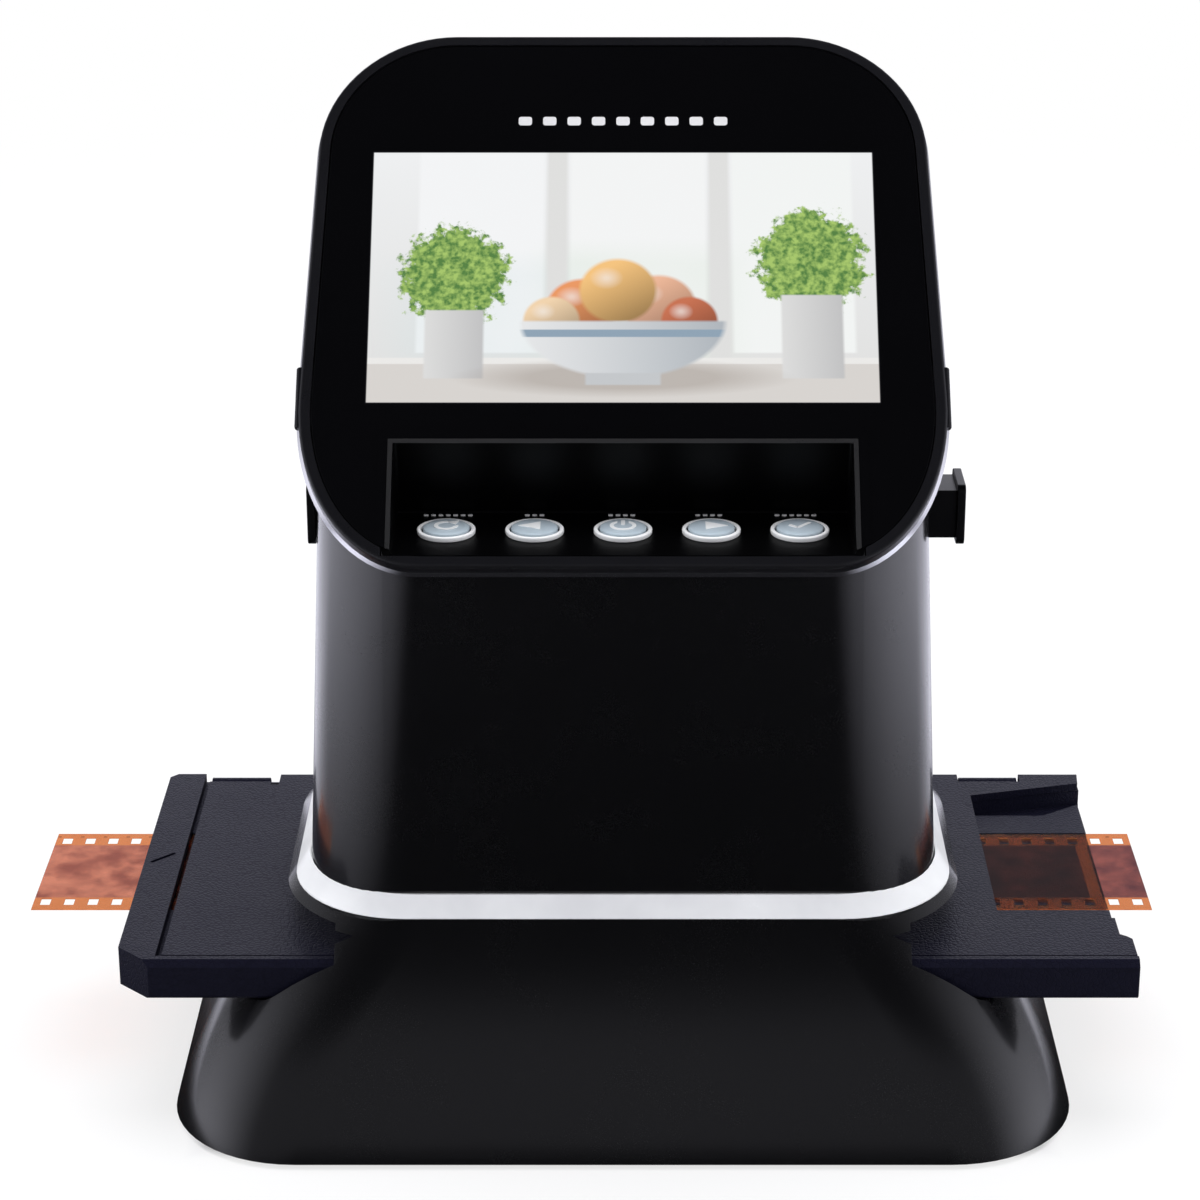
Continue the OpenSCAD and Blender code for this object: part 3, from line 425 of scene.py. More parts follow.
# %% Gloss panel
gloss = Finish("panel_gloss")
smear = gloss.noise(22, 4, 0.6)
dust = gloss.noise(1900, 1).share(0.74, 0.8)
gloss.set(
    Base_Color=gloss.mix(smear, (0.0014, 0.0014, 0.0017), (0.0022, 0.0022, 0.0027)),
    Roughness=smear.share(0.4, 0.8) * 0.05 + dust * 0.12 + 0.045,
    Normal=gloss.bump(gloss.noise(30, 1), 0.00001, 0.3),
)
gloss.shader.inputs["Specular IOR Level"].default_value = 0.22
finishes["panel_gloss"] = gloss
print("gloss panel ready")

# %% [markdown]
# ## The display's picture
# A lit display shows something, so it gets a plain still life that belongs to nobody: a bright window,
# a sill, two pots of green leaves and a bowl of fruit. It is drawn with sums on the point's place: u runs
# across the window and v up the slope, both from 0 to 1. Every shape is a soft mask, and each mask mixes
# its colour over the picture so far, back to front.

# %% Display
FACE_TILT = math.radians(46)
FACE_Y, FACE_Z = -41.0, 112.8
SCREEN_W, SCREEN_H, SCREEN_S = 97.0, 54.3, 33.5


def up_slope(y, z):
    """How far up the face a point lies, in millimetres; works on values and on numbers."""
    return (y - FACE_Y) * math.cos(FACE_TILT) + (z - FACE_Z) * math.sin(FACE_TILT)


display = Finish("screen")
across, y, z = display.axes()
u = across / SCREEN_W + 0.5
v = (up_slope(y, z) - SCREEN_S) / SCREEN_H


def spot(at_u, at_v, wide, high, soft=0.15):
    """1 in an oval of the picture, 0 outside it."""
    du = (u - at_u) / wide
    dv = (v - at_v) / high
    far = (du * du + dv * dv).maths("SQRT")
    return far.share(1 + soft, 1 - soft)


def patch(left, right, low, high, soft=0.008):
    """1 in an upright rectangle of the picture."""
    return u.within(left, right, soft) * v.within(low, high, soft)


WALL_TONE = (0.8, 0.8, 0.79)
slow = display.noise(45, 3, 0.5)
layers = []


def paint(mask, colour):
    """Puts a colour over the picture so far, where the mask is 1."""
    layers.append((mask, colour))


# %% Window and sill
for left, right, pane in (
    (0.1, 0.34, (0.97, 0.98, 0.99)), (0.4, 0.66, (0.97, 0.98, 0.98)), (0.72, 0.95, (0.96, 0.98, 0.97)),
):
    paint(patch(left, right, 0.2, 1.1), pane)
paint(patch(0.4, 0.66, 0.2, 0.55, 0.1) * (slow * 0.5), (0.72, 0.84, 0.7))
paint(patch(0.1, 0.34, 0.2, 0.5, 0.1) * (slow * 0.5), (0.7, 0.82, 0.84))
for post in (0.37, 0.69):
    paint(patch(post - 0.016, post + 0.016, 0.12, 1.1), WALL_TONE)
paint(patch(-0.1, 1.1, -0.1, 0.16, 0.01), (0.74, 0.71, 0.68))
paint(patch(-0.1, 1.1, 0.155, 0.175, 0.004), (0.9, 0.89, 0.87))
print("window drawn")

# %% Plants
leaf_noise = display.noise(420, 4, 0.65)
leaf_light = display.noise(900, 2, 0.5)
for at, tall, wide in ((0.17, 0.56, 0.105), (0.87, 0.62, 0.11)):
    leaves = spot(at, tall - 0.06, wide, 0.2, 0.35)
    leaves = (leaves + (leaf_noise - 0.52) * 1.7).share(0.42, 0.6)
    green = display.mix(leaf_light.share(0.35, 0.65), (0.1, 0.24, 0.06), (0.42, 0.62, 0.16))
    paint(leaves, green)
    pot = patch(at - wide * 0.52, at + wide * 0.52, 0.1, tall - 0.2, 0.006)
    clay = display.mix((u - at).share(-wide, wide), (0.86, 0.86, 0.85), (0.5, 0.5, 0.51))
    paint(pot, clay)
print("plants drawn")

# %% Fruit bowl
paint(spot(0.5, 0.1, 0.26, 0.06, 0.3) * 0.6, (0.42, 0.37, 0.33))
fruits = (
    (0.42, 0.37, 0.07, 0.115, (0.78, 0.3, 0.12)),
    (0.57, 0.38, 0.072, 0.12, (0.8, 0.45, 0.3)),
    (0.49, 0.44, 0.075, 0.125, (0.86, 0.52, 0.2)),
    (0.63, 0.32, 0.055, 0.095, (0.55, 0.16, 0.08)),
    (0.36, 0.32, 0.055, 0.095, (0.83, 0.62, 0.4)),
)
for at_u, at_v, wide, high, colour in fruits:
    shade = ((v - at_v) / high + (u - at_u) / wide * -0.6).share(-1.2, 0.9)
    skin = display.mix(shade, tuple(c * 0.42 for c in colour), tuple(min(1, c * 1.15) for c in colour))
    paint(spot(at_u, at_v, wide, high, 0.06), skin)
    glint = spot(at_u - wide * 0.3, at_v + high * 0.4, wide * 0.25, high * 0.2, 0.8)
    paint(glint * 0.6, (0.98, 0.92, 0.86))
bowl = spot(0.5, 0.32, 0.2, 0.22, 0.03) * v.share(0.325, 0.315)
glaze = display.mix(u.share(0.3, 0.7), (0.86, 0.87, 0.88), (0.46, 0.5, 0.54))
glaze = display.mix(v.within(0.26, 0.285, 0.004), glaze, (0.3, 0.4, 0.5))
paint(bowl, glaze)
paint(patch(0.43, 0.57, 0.075, 0.115, 0.006), (0.6, 0.62, 0.64))
print("fruit drawn")

# %% Display glass
picture = display.mix(v, WALL_TONE, (0.93, 0.94, 0.95))
for mask, colour in layers:
    picture = display.mix(mask, picture, colour)
lit = u.within(0.004, 0.996, 0.002) * v.within(0.006, 0.994, 0.003)
display.set(
    Base_Color=(0.004, 0.004, 0.005), Roughness=0.06 + slow * 0.03,
    Emission_Color=display.mix(lit, (0.002, 0.002, 0.003), picture),
)
display.shader.inputs["Emission Strength"].default_value = 0.92
finishes["screen"] = display
print("picture of", len(display.tree.nodes), "nodes")

# %% [markdown]
# ## Film
# A strip of colour negative is orange-brown clear film. Its frames are darker and red-brown, because the
# picture on it is the wrong way round, and the borders stay pale and carry the perforations. Transmission
# lets what lies behind show in the film's colour, so the strip is orange over the pale desk and nearly
# black over the dark tray, wherever it is pulled to. Its IOR is low, because thin film mirrors little.

# %% Negative film
FRAME_PITCH, PERF_PITCH = 38.0, 4.75
AHEAD = 10 * FRAME_PITCH  # ten frames further on the pattern is the same, and no place is negative
film = Finish("film_base")
fx, fy, _ = film.axes()
wave = film.noise(90, 4, 0.6)
clouds = film.noise(150, 3, 0.55).share(0.36, 0.66)
frame_at = ((fx + (FRAME_PITCH / 2 + AHEAD)) / FRAME_PITCH).maths("FRACT")
in_frame = frame_at.within(0.035, 0.965, 0.006) * fy.within(-12, 12, 0.25)
border = film.mix(wave, (0.7, 0.21, 0.07), (0.82, 0.3, 0.12))
light_frame = film.mix(clouds, (0.35, 0.103, 0.075), (0.72, 0.26, 0.165))
dark_frame = film.mix(clouds, (0.145, 0.048, 0.054), (0.345, 0.105, 0.087))
last_frames = fx.share(1.5 * FRAME_PITCH - 1, 1.5 * FRAME_PITCH + 1)
colour = film.mix(in_frame, border, film.mix(last_frames, light_frame, dark_frame))
perf_at = ((fx + AHEAD) / PERF_PITCH).maths("FRACT")
edge_marks = perf_at.within(0.2, 0.34, 0.02) * fy.within(15.9, 16.4, 0.1)
colour = film.mix(edge_marks * 0.6, colour, (0.2, 0.05, 0.02))
film.set(
    Base_Color=colour, Roughness=0.12 + wave * 0.06, Normal=film.bump(film.noise(18, 1), 0.0006, 0.1)
)
film.shader.inputs["Transmission Weight"].default_value = 1
film.shader.inputs["IOR"].default_value = 1.09
finishes["film_base"] = film
print("film of", len(film.tree.nodes), "nodes")

# %% [markdown]
# ## Hand tools
# Modelling by script is modelling by hand with the mouse taken away. These few helpers open a primitive
# in edit mode with nothing selected, pick faces or edges by where they are, and close the piece again
# with its place in its mesh, its finish on, and its rider set. All their sizes are in millimetres.


# %% Start and choose
SAME_POINT = 0.002 * MM


def object_mode():
    if bpy.context.mode != "OBJECT":
        bpy.ops.object.mode_set(mode="OBJECT")


def only(piece):
    """Makes the piece active and the only one that is selected, in object mode."""
    object_mode()
    bpy.ops.object.select_all(action="DESELECT")
    bpy.context.view_layer.objects.active = piece
    piece.select_set(True)


def begin(kind, name, size, place, **settings):
    """Adds a primitive at its size and place and opens it, with nothing selected."""
    object_mode()
    bpy.ops.object.select_all(action="DESELECT")
    if kind in ("cube", "plane"):
        settings["size"] = 1
    getattr(bpy.ops.mesh, f"primitive_{kind}_add")(location=[c * MM for c in place], **settings)
    piece = bpy.context.object
    piece.name = piece.data.name = name
    piece.scale = [c * MM for c in size]
    bpy.ops.object.transform_apply(location=True, rotation=True, scale=True)
    bpy.ops.object.mode_set(mode="EDIT")
    bpy.ops.mesh.select_all(action="DESELECT")
    return piece


def middle(item):
    """The middle of a vertex, edge or face, in millimetres."""
    if isinstance(item, bmesh.types.BMVert):
        return item.co / MM
    return sum((v.co for v in item.verts), Vector()) / len(item.verts) / MM


def pick(part, test):
    """Selects what passes the test, and nothing else; part is VERT, EDGE or FACE."""
    bpy.ops.mesh.select_mode(type=part)
    bpy.ops.mesh.select_all(action="DESELECT")
    mesh = bmesh.from_edit_mesh(bpy.context.edit_object.data)
    items = {"VERT": mesh.verts, "EDGE": mesh.edges, "FACE": mesh.faces}[part]
    chosen = [item for item in items if test(item)]
    for item in chosen:
        item.select_set(True)
    bmesh.update_edit_mesh(bpy.context.edit_object.data)
    return len(chosen)


def pick_all():
    bpy.ops.mesh.select_all(action="SELECT")


def face_outwards():
    """Selects everything and turns all faces outwards."""
    pick_all()
    bpy.ops.mesh.normals_make_consistent(inside=False)


def along(edge, axis):
    """How well an edge runs along x, y or z, from 0 to 1."""
    return abs((edge.verts[0].co - edge.verts[1].co).normalized()["xyz".index(axis)])


# %% Shape
def pull(x, y, z):
    """Extrudes what is selected and moves it."""
    bpy.ops.mesh.extrude_region_move(TRANSFORM_OT_translate={"value": (x * MM, y * MM, z * MM)})


def move(x, y, z):
    bpy.ops.transform.translate(value=(x * MM, y * MM, z * MM))


def stretch(x, y, z, about):
    bpy.ops.transform.resize(value=(x, y, z), center_override=[c * MM for c in about])


def inset(width):
    bpy.ops.mesh.inset(thickness=width * MM)


def round_off(width, segments, corners=False):
    """Bevels the selected edges, or corners of a flat sheet."""
    bpy.ops.mesh.bevel(
        offset=width * MM, segments=segments, affect="VERTICES" if corners else "EDGES",
        clamp_overlap=True,
    )


def modify(piece, kind, **settings):
    """Adds a modifier and applies it."""
    only(piece)
    modifier = piece.modifiers.new(kind.lower(), kind)
    for key, value in settings.items():
        setattr(modifier, key, value)
    bpy.ops.object.modifier_apply(modifier=modifier.name)


def block(size, place, radius=0, axis="z", segments=5, name="cutter"):
    """A closed block whose edges along one axis are rounded; used as a cutter or a start."""
    piece = begin("cube", name, size, place)
    if radius:
        pick("EDGE", lambda e: along(e, axis) > 0.9)
        round_off(radius, segments)
    object_mode()
    return piece


def disc(name, place, radius, height, corners, **settings):
    """A cylinder, opened as begin leaves it."""
    return begin(
        "cylinder", name, (1, 1, 1), place, vertices=corners, radius=radius, depth=height, **settings
    )


def wall(piece, thickness):
    """Gives a sheet its wall, inwards from its face."""
    modify(piece, "SOLIDIFY", thickness=thickness * MM, offset=-1, use_even_offset=True)


def cut(piece, *cutters, operation="DIFFERENCE"):
    """Takes the cutters out of the piece, and away."""
    for cutter in cutters:
        modify(piece, "BOOLEAN", object=cutter, operation=operation, solver="EXACT")
        bpy.data.objects.remove(cutter)


def soften(piece, width, segments=2, angle=38):
    """Rounds every edge that is sharper than the angle, as a mould does."""
    modify(
        piece, "BEVEL", width=width * MM, segments=segments, limit_method="ANGLE",
        angle_limit=math.radians(angle), miter_outer="MITER_ARC",
    )


# %% Close a piece
def close(piece, slot, body, *replaced, coat=None, tilt=False, smooth=32, flip=True):
    """Closes a piece: faces out, smooth edges but flat fields, finish, rider and what it stands for.

    The slot names the finish it takes from finishes; coat is the finish that it gets instead, if given, and
    then the slot is not read.
    """
    only(piece)
    if tilt:
        piece.data.transform(
            Matrix.Translation((0, FACE_Y * MM, FACE_Z * MM)) @ Matrix.Rotation(FACE_TILT, 4, "X")
        )
    bpy.ops.object.mode_set(mode="EDIT")
    pick_all()
    bpy.ops.mesh.remove_doubles(threshold=SAME_POINT)
    if flip:
        face_outwards()
    object_mode()
    bpy.ops.object.shade_smooth_by_angle(angle=math.radians(smooth))
    modify(piece, "WEIGHTED_NORMAL", keep_sharp=True, weight=100)
    piece.data.materials.clear()
    piece.data.materials.append((coat or finishes[slot]).material)
    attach(piece, body)
    if replaced:
        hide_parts(*replaced)
    print(piece.name, len(piece.data.polygons), "faces")
    return piece


# %% [markdown]
# ## The column
# The column is a tall shell with wide round corners. Its front and sides lean in by a few degrees, so
# that it leaves its mould, and its back stands straight. A box is extruded once to the leaning top, its
# upright edges are bevelled round, and a plane cuts it off where the tilted head sits. Solidify gives it
# the wall, and boxes cut the openings: selector, side catches, sockets and vent slots.

# %% Column skin
COLUMN_W, COLUMN_D, COLUMN_R = 122.6, 76.6, 20.0
SKIRT_TOP, RING_TOP = 41.0, 45.0
RING_MIDDLE = (SKIRT_TOP + RING_TOP) / 2
HEAD_T = 3.5
LEAN = math.tan(math.radians(2.55))
rise = 165.0
column = begin("cube", "column_skin", (COLUMN_W, COLUMN_D, RING_TOP - SKIRT_TOP), (0, 0, RING_MIDDLE))
pick("FACE", lambda f: f.normal.z > 0.9)
pull(0, rise * LEAN / 2, rise)
stretch(
    (COLUMN_W - 2 * rise * LEAN) / COLUMN_W, (COLUMN_D - rise * LEAN) / COLUMN_D, 1,
    (0, rise * LEAN / 2, RING_TOP + rise),
)
pick("EDGE", lambda e: along(e, "z") > 0.9)
round_off(COLUMN_R, 14)
pick_all()
under_head = (0, FACE_Y + HEAD_T * math.sin(FACE_TILT), FACE_Z - HEAD_T * math.cos(FACE_TILT))
bpy.ops.mesh.bisect(
    plane_co=[c * MM for c in under_head],
    plane_no=(0, -math.sin(FACE_TILT), math.cos(FACE_TILT)), clear_outer=True,
)
pick("FACE", lambda f: abs(f.normal.z) > 0.9)
bpy.ops.mesh.delete(type="FACE")
wall(column, 2.2)

# %% Column openings
SIDES = (-1, 1)
selector_slot = block((200, 10.2, 10.2), (0, -8, 113), 0.8, "x", 3)
catch_windows = [block((7, 7, 12.4), (side * COLUMN_W / 2, 0, 63)) for side in SIDES]
room_for_display = block((89.4, 56.6, 60), (0, -48.3, 142.7))
usb_hole = block((9.6, 60, 3.8), (-26, 40, 58), 1.6, "y", 5)
video_hole = block((12, 60, 4), (-4, 40, 58))
card_hole = block((25, 60, 3), (24, 40, 58))
vents = [
    block((1.8, 40, 14), (side * (14 + 5 * i), 40, 135), 0.85, "y", 3) for i in range(6) for side in SIDES
]
cut(column, selector_slot, *catch_windows, room_for_display, usb_hole, video_hole, card_hole, *vents)
soften(column, 0.35)
close(column, "satin_black", "housing", "column_shell", flip=False)

# %% [markdown]
# ## The flared skirt
# The foot spreads from the ring down to the desk, flat near the ring and steep at the desk. It starts as
# a rectangle at the desk. Each extrusion lifts it a little and shrinks it by the flare's curve, and the
# four chains of corner edges are bevelled together at the end. The tray's slots are cut through both sides,
# and inside, along the tray's way, the wall is thinned so that the lid has room to tilt.

# %% Skirt skin
BASE_W, BASE_D, BASE_R = 175.0, 130.0, 23.5
FLARE, BASE_LIFT, STEPS = 1.4, 1.0, 14
RING_W, RING_D = COLUMN_W + 6.2, COLUMN_D + 6.2
SLOT_W, SLOT_H, SLOT_Z = 89.8, 14, 31.5


def flare_size(z, in_by):
    """The foot's width and depth at a height, smaller by in_by all round."""
    left = 1 - (z / SKIRT_TOP) ** FLARE
    return (
        RING_W + (BASE_W - RING_W) * left - 2 * in_by, RING_D + (BASE_D - RING_D) * left - 2 * in_by
    )


def flared_body(name, in_by):
    """The foot's outer shape as a closed body, smaller by in_by all round, open in edit mode."""
    levels = [BASE_LIFT + (SKIRT_TOP - BASE_LIFT) * i / STEPS for i in range(STEPS + 1)]
    body = begin("plane", name, (*flare_size(levels[0], in_by), 1), (0, 0, levels[0]))
    pick_all()
    for low, high in zip(levels, levels[1:]):
        pull(0, 0, high - low)
        (wide, deep), (next_wide, next_deep) = flare_size(low, in_by), flare_size(high, in_by)
        stretch(next_wide / wide, next_deep / deep, 1, (0, 0, high))
    pick("EDGE", lambda e: abs(e.verts[0].co.z - e.verts[1].co.z) > MM)
    round_off(BASE_R - in_by, 14)
    face_outwards()
    return body


skirt = flared_body("skirt_skin", 0)
pick("FACE", lambda f: f.normal.z < -0.9 and middle(f).z < 2)
bpy.ops.mesh.delete(type="FACE")
wall(skirt, 2.4)
channel = flared_body("channel", 1.0)
cut(channel, block((114, SLOT_W, SLOT_H), (0, 0, SLOT_Z)), operation="INTERSECT")
lid_room = block((113.6, 83.2, 3.5), (0, 0, 35.75))
slots = [block((60, SLOT_W, SLOT_H), (side * 85.3, 0, SLOT_Z), 2, "x", 5) for side in SIDES]
cut(skirt, channel, lid_room, *slots)
soften(skirt, 0.6, 3, 50)
close(skirt, "satin_black", "housing", "base_skirt", flip=False)

# %% [markdown]
# ## The trim ring
# Between foot and column lies a pale ring with a sloping face. It is a low frustum with the column's own
# outline cut out of it, and its two edges are softly rounded, so that a line of light runs round it.

# %% Trim ring
RING_FOOT, RING_EDGE, FIT = 0.3, 1.4, 0.2
ring = begin("cube", "trim_band", (RING_W, RING_D, RING_FOOT), (0, 0, SKIRT_TOP + RING_FOOT / 2))
pick("FACE", lambda f: f.normal.z > 0.9)
pull(0, 0, RING_TOP - SKIRT_TOP - RING_FOOT)
stretch((COLUMN_W + RING_EDGE) / RING_W, (COLUMN_D + RING_EDGE) / RING_D, 1, (0, 0, RING_TOP))
pick("EDGE", lambda e: along(e, "z") > 0.7)
round_off(21.3, 14)
column_room = (COLUMN_W + 2 * FIT, COLUMN_D + 2 * FIT, 12)
cut(ring, block(column_room, (0, 0, RING_MIDDLE), COLUMN_R + FIT, "z", 14))
soften(ring, 0.25, 3, 30)
close(ring, "ring_silver", "housing", "trim_ring")

# %% [markdown]
# ## The head
# The head is a slab that lies on the cut column. Its outline is drawn flat: a sheet a little wider at its
# foot, with long oval corners below and round ones above. Rounding the lower corners while the sheet is
# squashed, and stretching it back afterwards, turns circles into ovals. The slab is tilted last.

# %% Face outline
FACE_LEN, FACE_FOOT, FACE_TOP = 113.98, 124.2, 116.2
LOW_CORNER, TOP_CORNER, SQUASH = 24.6, 25.5, 24 / 34


def face_sheet(name, in_by):
    """A flat sheet with the head's outline, smaller by in_by all round, open in edit mode."""
    length = FACE_LEN * SQUASH
    sheet = begin("plane", name, (FACE_FOOT, length, 1), (0, length / 2, 0))
    pick("VERT", lambda v: middle(v).y > length / 2)
    stretch(FACE_TOP / FACE_FOOT, 1, 1, (0, 0, 0))
    pick("VERT", lambda v: middle(v).y < length / 2)
    round_off(LOW_CORNER, 20, corners=True)
    pick_all()
    stretch(1, 1 / SQUASH, 1, (0, 0, 0))
    pick("VERT", lambda v: middle(v).y > FACE_LEN - 1)
    round_off(TOP_CORNER, 20, corners=True)
    if in_by:
        pick("FACE", lambda f: True)
        inset(in_by)
        bpy.ops.mesh.select_all(action="INVERT")
        bpy.ops.mesh.delete(type="FACE")
    return sheet


# %% Head frame
RIM, POCKET, EDGE = 2.2, 1.6, 0.8
head = face_sheet("head_slab", 0)
pick_all()
pull(0, 0, -HEAD_T)
face_outwards()
pick("EDGE", lambda e: along(e, "z") < 0.1 and abs(abs(middle(e).z + HEAD_T / 2) - HEAD_T / 2) < 0.01)
round_off(EDGE, 4)
pick("FACE", lambda f: f.normal.z > 0.99 and len(f.verts) > 20)
inset(RIM - EDGE)
pull(0, 0, -POCKET)
RECESS_HALF, RECESS_S, WALL = 43.0, 25.2, 1.5
notch_w = 2 * (RECESS_HALF + WALL + FIT)
notch_low, notch_high = RIM + 0.1, RECESS_S + WALL + FIT
cut(head, block((notch_w, notch_high - notch_low, 20), (0, (notch_low + notch_high) / 2, 0)))
cut(head, block((100.4, 59.4, 30), (0, SCREEN_S + SCREEN_H / 2, 0)))
soften(head, 0.18, 2, 50)
close(head, "rim_grey", "housing", "head_frame", tilt=True)

# %% [markdown]
# The black sheet is one piece over the whole head, and the display lies behind it without any step. So
# the sheet is cut by four planes along the picture's edges, and the face in the middle takes the display's
# finish. A notch is cut out of its lower part for the buttons.

# %% Gloss sheet with the display
SHEET_T = POCKET - FIT
panel = face_sheet("gloss_sheet", RIM + FIT)
pick_all()
move(0, 0, -FIT)
pull(0, 0, -SHEET_T)
face_outwards()
cut(panel, block((notch_w, notch_high, 20), (0, notch_high / 2, 0)))
soften(panel, 0.2, 2, 50)
bpy.ops.object.mode_set(mode="EDIT")
for point, normal in (
    ((-SCREEN_W / 2, 0, 0), (1, 0, 0)), ((SCREEN_W / 2, 0, 0), (1, 0, 0)),
    ((0, SCREEN_S, 0), (0, 1, 0)), ((0, SCREEN_S + SCREEN_H, 0), (0, 1, 0)),
):
    pick_all()
    bpy.ops.mesh.bisect(plane_co=[c * MM for c in point], plane_no=normal)
close(panel, "panel_gloss", "housing", "front_panel", tilt=True, smooth=20)


def in_picture(face):
    at = middle(face)
    return (
        face.normal.z > 0.6 and abs(at.x) < SCREEN_W / 2
        and SCREEN_S < up_slope(at.y, at.z) < SCREEN_S + SCREEN_H
    )


panel.data.materials.append(display.material)
bpy.ops.object.mode_set(mode="EDIT")
lit_faces = pick("FACE", in_picture)
panel.active_material_index = 1
bpy.ops.object.material_slot_assign()
object_mode()
print(lit_faces, "faces show the picture")

# %% [markdown]
# A pale metal bead runs round the slab's underside. It is thin, but it is what draws the bright line under
# the head. That line is the highlight of the slab's polished lower edge, and the bead's pale metal stands
# in for it, so the line is partly a painted highlight and partly the room's real reflection. Its face
# slopes outwards, so the sides of the room show in it, and at the front it fades, because it looks at the
# dark desk there. Two grip pads stand out of the slab's edges, where a hand lifts the head.

# %% Bead and grip pads
BEAD_TOP, BEAD_H, BEAD_IN = -2.85, 0.7, 2
SLOPE_X, SLOPE_Y = 1.2 / 121.8, 1.0 / FACE_LEN
bead = face_sheet("edge_bead", 0)
pick_all()
move(0, 0, BEAD_TOP)
bpy.ops.mesh.select_mode(type="FACE")
pick_all()
inset(BEAD_IN)
bpy.ops.mesh.delete(type="FACE")
pick_all()
pull(0, 0, -BEAD_H)
stretch(1 + SLOPE_X, 1 + SLOPE_Y, 1, (0, FACE_LEN / 2, 0))
face_outwards()
soften(bead, 0.12, 3, 60)
# Pale metal whose brightness stands in for the slab edge's highlight: partly painted highlight, partly real
# reflection.
bead_highlight_metal = Finish("bead_painted_highlight")
streak = bead_highlight_metal.noise(160, 2)
bead_highlight_metal.set(
    Base_Color=bead_highlight_metal.mix(streak, (0.86, 0.86, 0.9), (0.94, 0.94, 0.97)), Metallic=1.0,
    Roughness=streak * 0.06 + 0.14,
)
close(bead, "rim_grey", "housing", coat=bead_highlight_metal, tilt=True)

for side, name in zip(SIDES, ("grip_pad_left", "grip_pad_right")):
    pad = block((4.2, 12.5, 2.1), (side * 59.5, 35.25, -HEAD_T / 2), 0.8, "y", 4, name)
    soften(pad, 0.3, 3)
    close(pad, "rim_grey", "housing", tilt=True)

# %% [markdown]
# ## The button recess
# Below the display the head is hollowed: a level shelf carries the buttons, and a wall leans over behind
# it. The shelf is one rectangle, the wall is its back edge extruded up, and each side is closed with a
# triangle. After the inner corners are rounded, solidify gives the moulding its wall.

# %% Recess
SHELF_Z, SHELF_FRONT, SHELF_BACK = 114.4, -39.0, -16.0
top_y = FACE_Y + RECESS_S * math.cos(FACE_TILT)
top_z = FACE_Z + RECESS_S * math.sin(FACE_TILT)
recess = begin(
    "plane", "recess_shell", (2 * RECESS_HALF, SHELF_BACK - SHELF_FRONT, 1),
    (0, (SHELF_BACK + SHELF_FRONT) / 2, SHELF_Z),
)
pick("EDGE", lambda e: along(e, "x") > 0.9 and middle(e).y > SHELF_BACK - 1)
pull(0, top_y - SHELF_BACK, top_z - SHELF_Z)
for side in SIDES:
    pick("VERT", lambda v: middle(v).x * side > RECESS_HALF - 1)
    bpy.ops.mesh.edge_face_add()
pick("EDGE", lambda e: len(e.link_faces) == 2)
round_off(0.9, 4)
face_outwards()
SHELF_AREA = 1000 * MM * MM
if not pick("FACE", lambda f: f.normal.z > 0.99 and f.calc_area() > SHELF_AREA):
    pick_all()
    bpy.ops.mesh.flip_normals()
wall(recess, WALL)
BUTTON_Y, PITCH, CAP_R = -27.0, 16.55, 4.4
button_x = [i * PITCH for i in range(-2, 3)]
for x in button_x:
    cut(recess, disc("hole", (x, BUTTON_Y, SHELF_Z), CAP_R + 0.3, 8, 48))
recess_black = plastic("recess_black", (0.0009, 0.0009, 0.0011), 0.42, 0.00001, 3000, shine=0.12)
close(recess, "satin_black", "housing", "button_tray", coat=recess_black, flip=False, smooth=40)

# %% [markdown]
# Round the notch the gloss sheet ends in a border, and the recess in a thin grey lip that stands a hair
# higher. Both are flat blocks: the head's outline is their outer limit, and the notch is cut out of them.

# %% Border and lip
BORDER_T, BORDER_LEN = 0.35, 25.2
lip_grey = plastic("lip_grey", (0.02, 0.02, 0.021), 0.3, 0.00001, 3000)
for name, wide, high, slot, coat in (
    ("recess_border", WALL + 1.2, 0.0, "panel_gloss", None),
    ("recess_lip", 0.9, 0.17, "rim_grey", lip_grey),
):
    size = (2 * (RECESS_HALF + wide), BORDER_LEN, BORDER_T + high)
    frame_block = block(size, (0, RECESS_S + wide - BORDER_LEN / 2, high / 2 - 0.18), name=name)
    outline = face_sheet("outline_cutter", RIM + 0.25)
    pick_all()
    move(0, 0, -3)
    pull(0, 0, 6)
    face_outwards()
    cut(frame_block, outline, operation="INTERSECT")
    cut(frame_block, block((2 * RECESS_HALF, 60, 4), (0, RECESS_S - 30, 0)))
    soften(frame_block, 0.12, 2, 50)
    close(frame_block, slot, "housing", coat=coat, tilt=True)

# %% [markdown]
# ## Buttons
# Five caps stand in pale rings. A ring is an open tube with a wall and rounded edges. A cap starts as the
# disc that keeps it in: its top is inset, pulled up through the ring and crowned in small steps, and its
# underside is inset and pulled down to the stem that meets the switch. Both are modelled once, and each
# copy has its own mesh.

# %% First ring and cap
CAP_TOP, FLANGE_TOP, FLANGE_H = SHELF_Z + 1.35, 112.6, 0.9
CROWN = ((0.12, 0.25), (0.3, 0.16), (0.5, 0.06), (1.2, 0.07), (1.4, 0.04))
first_ring = disc(
    "button_ring_mode", (button_x[0], BUTTON_Y, SHELF_Z + 0.5), CAP_R + 1.1, 1.0, 64,
    end_fill_type="NOTHING",
)
wall(first_ring, 0.8)
soften(first_ring, 0.28, 3)
first_cap = disc(
    "button_cap_mode", (button_x[0], BUTTON_Y, FLANGE_TOP - FLANGE_H / 2), CAP_R + 0.9, FLANGE_H, 64
)
pick("FACE", lambda f: f.normal.z > 0.9)
inset(0.9)
pull(0, 0, CAP_TOP - FLANGE_TOP - 0.45)
for pull_in, lift in CROWN:
    inset(pull_in)
    move(0, 0, lift)
pick("FACE", lambda f: f.normal.z < -0.9)
inset(CAP_R - 0.6)
pull(0, 0, -0.8)
object_mode()
print("first ring and cap modelled")


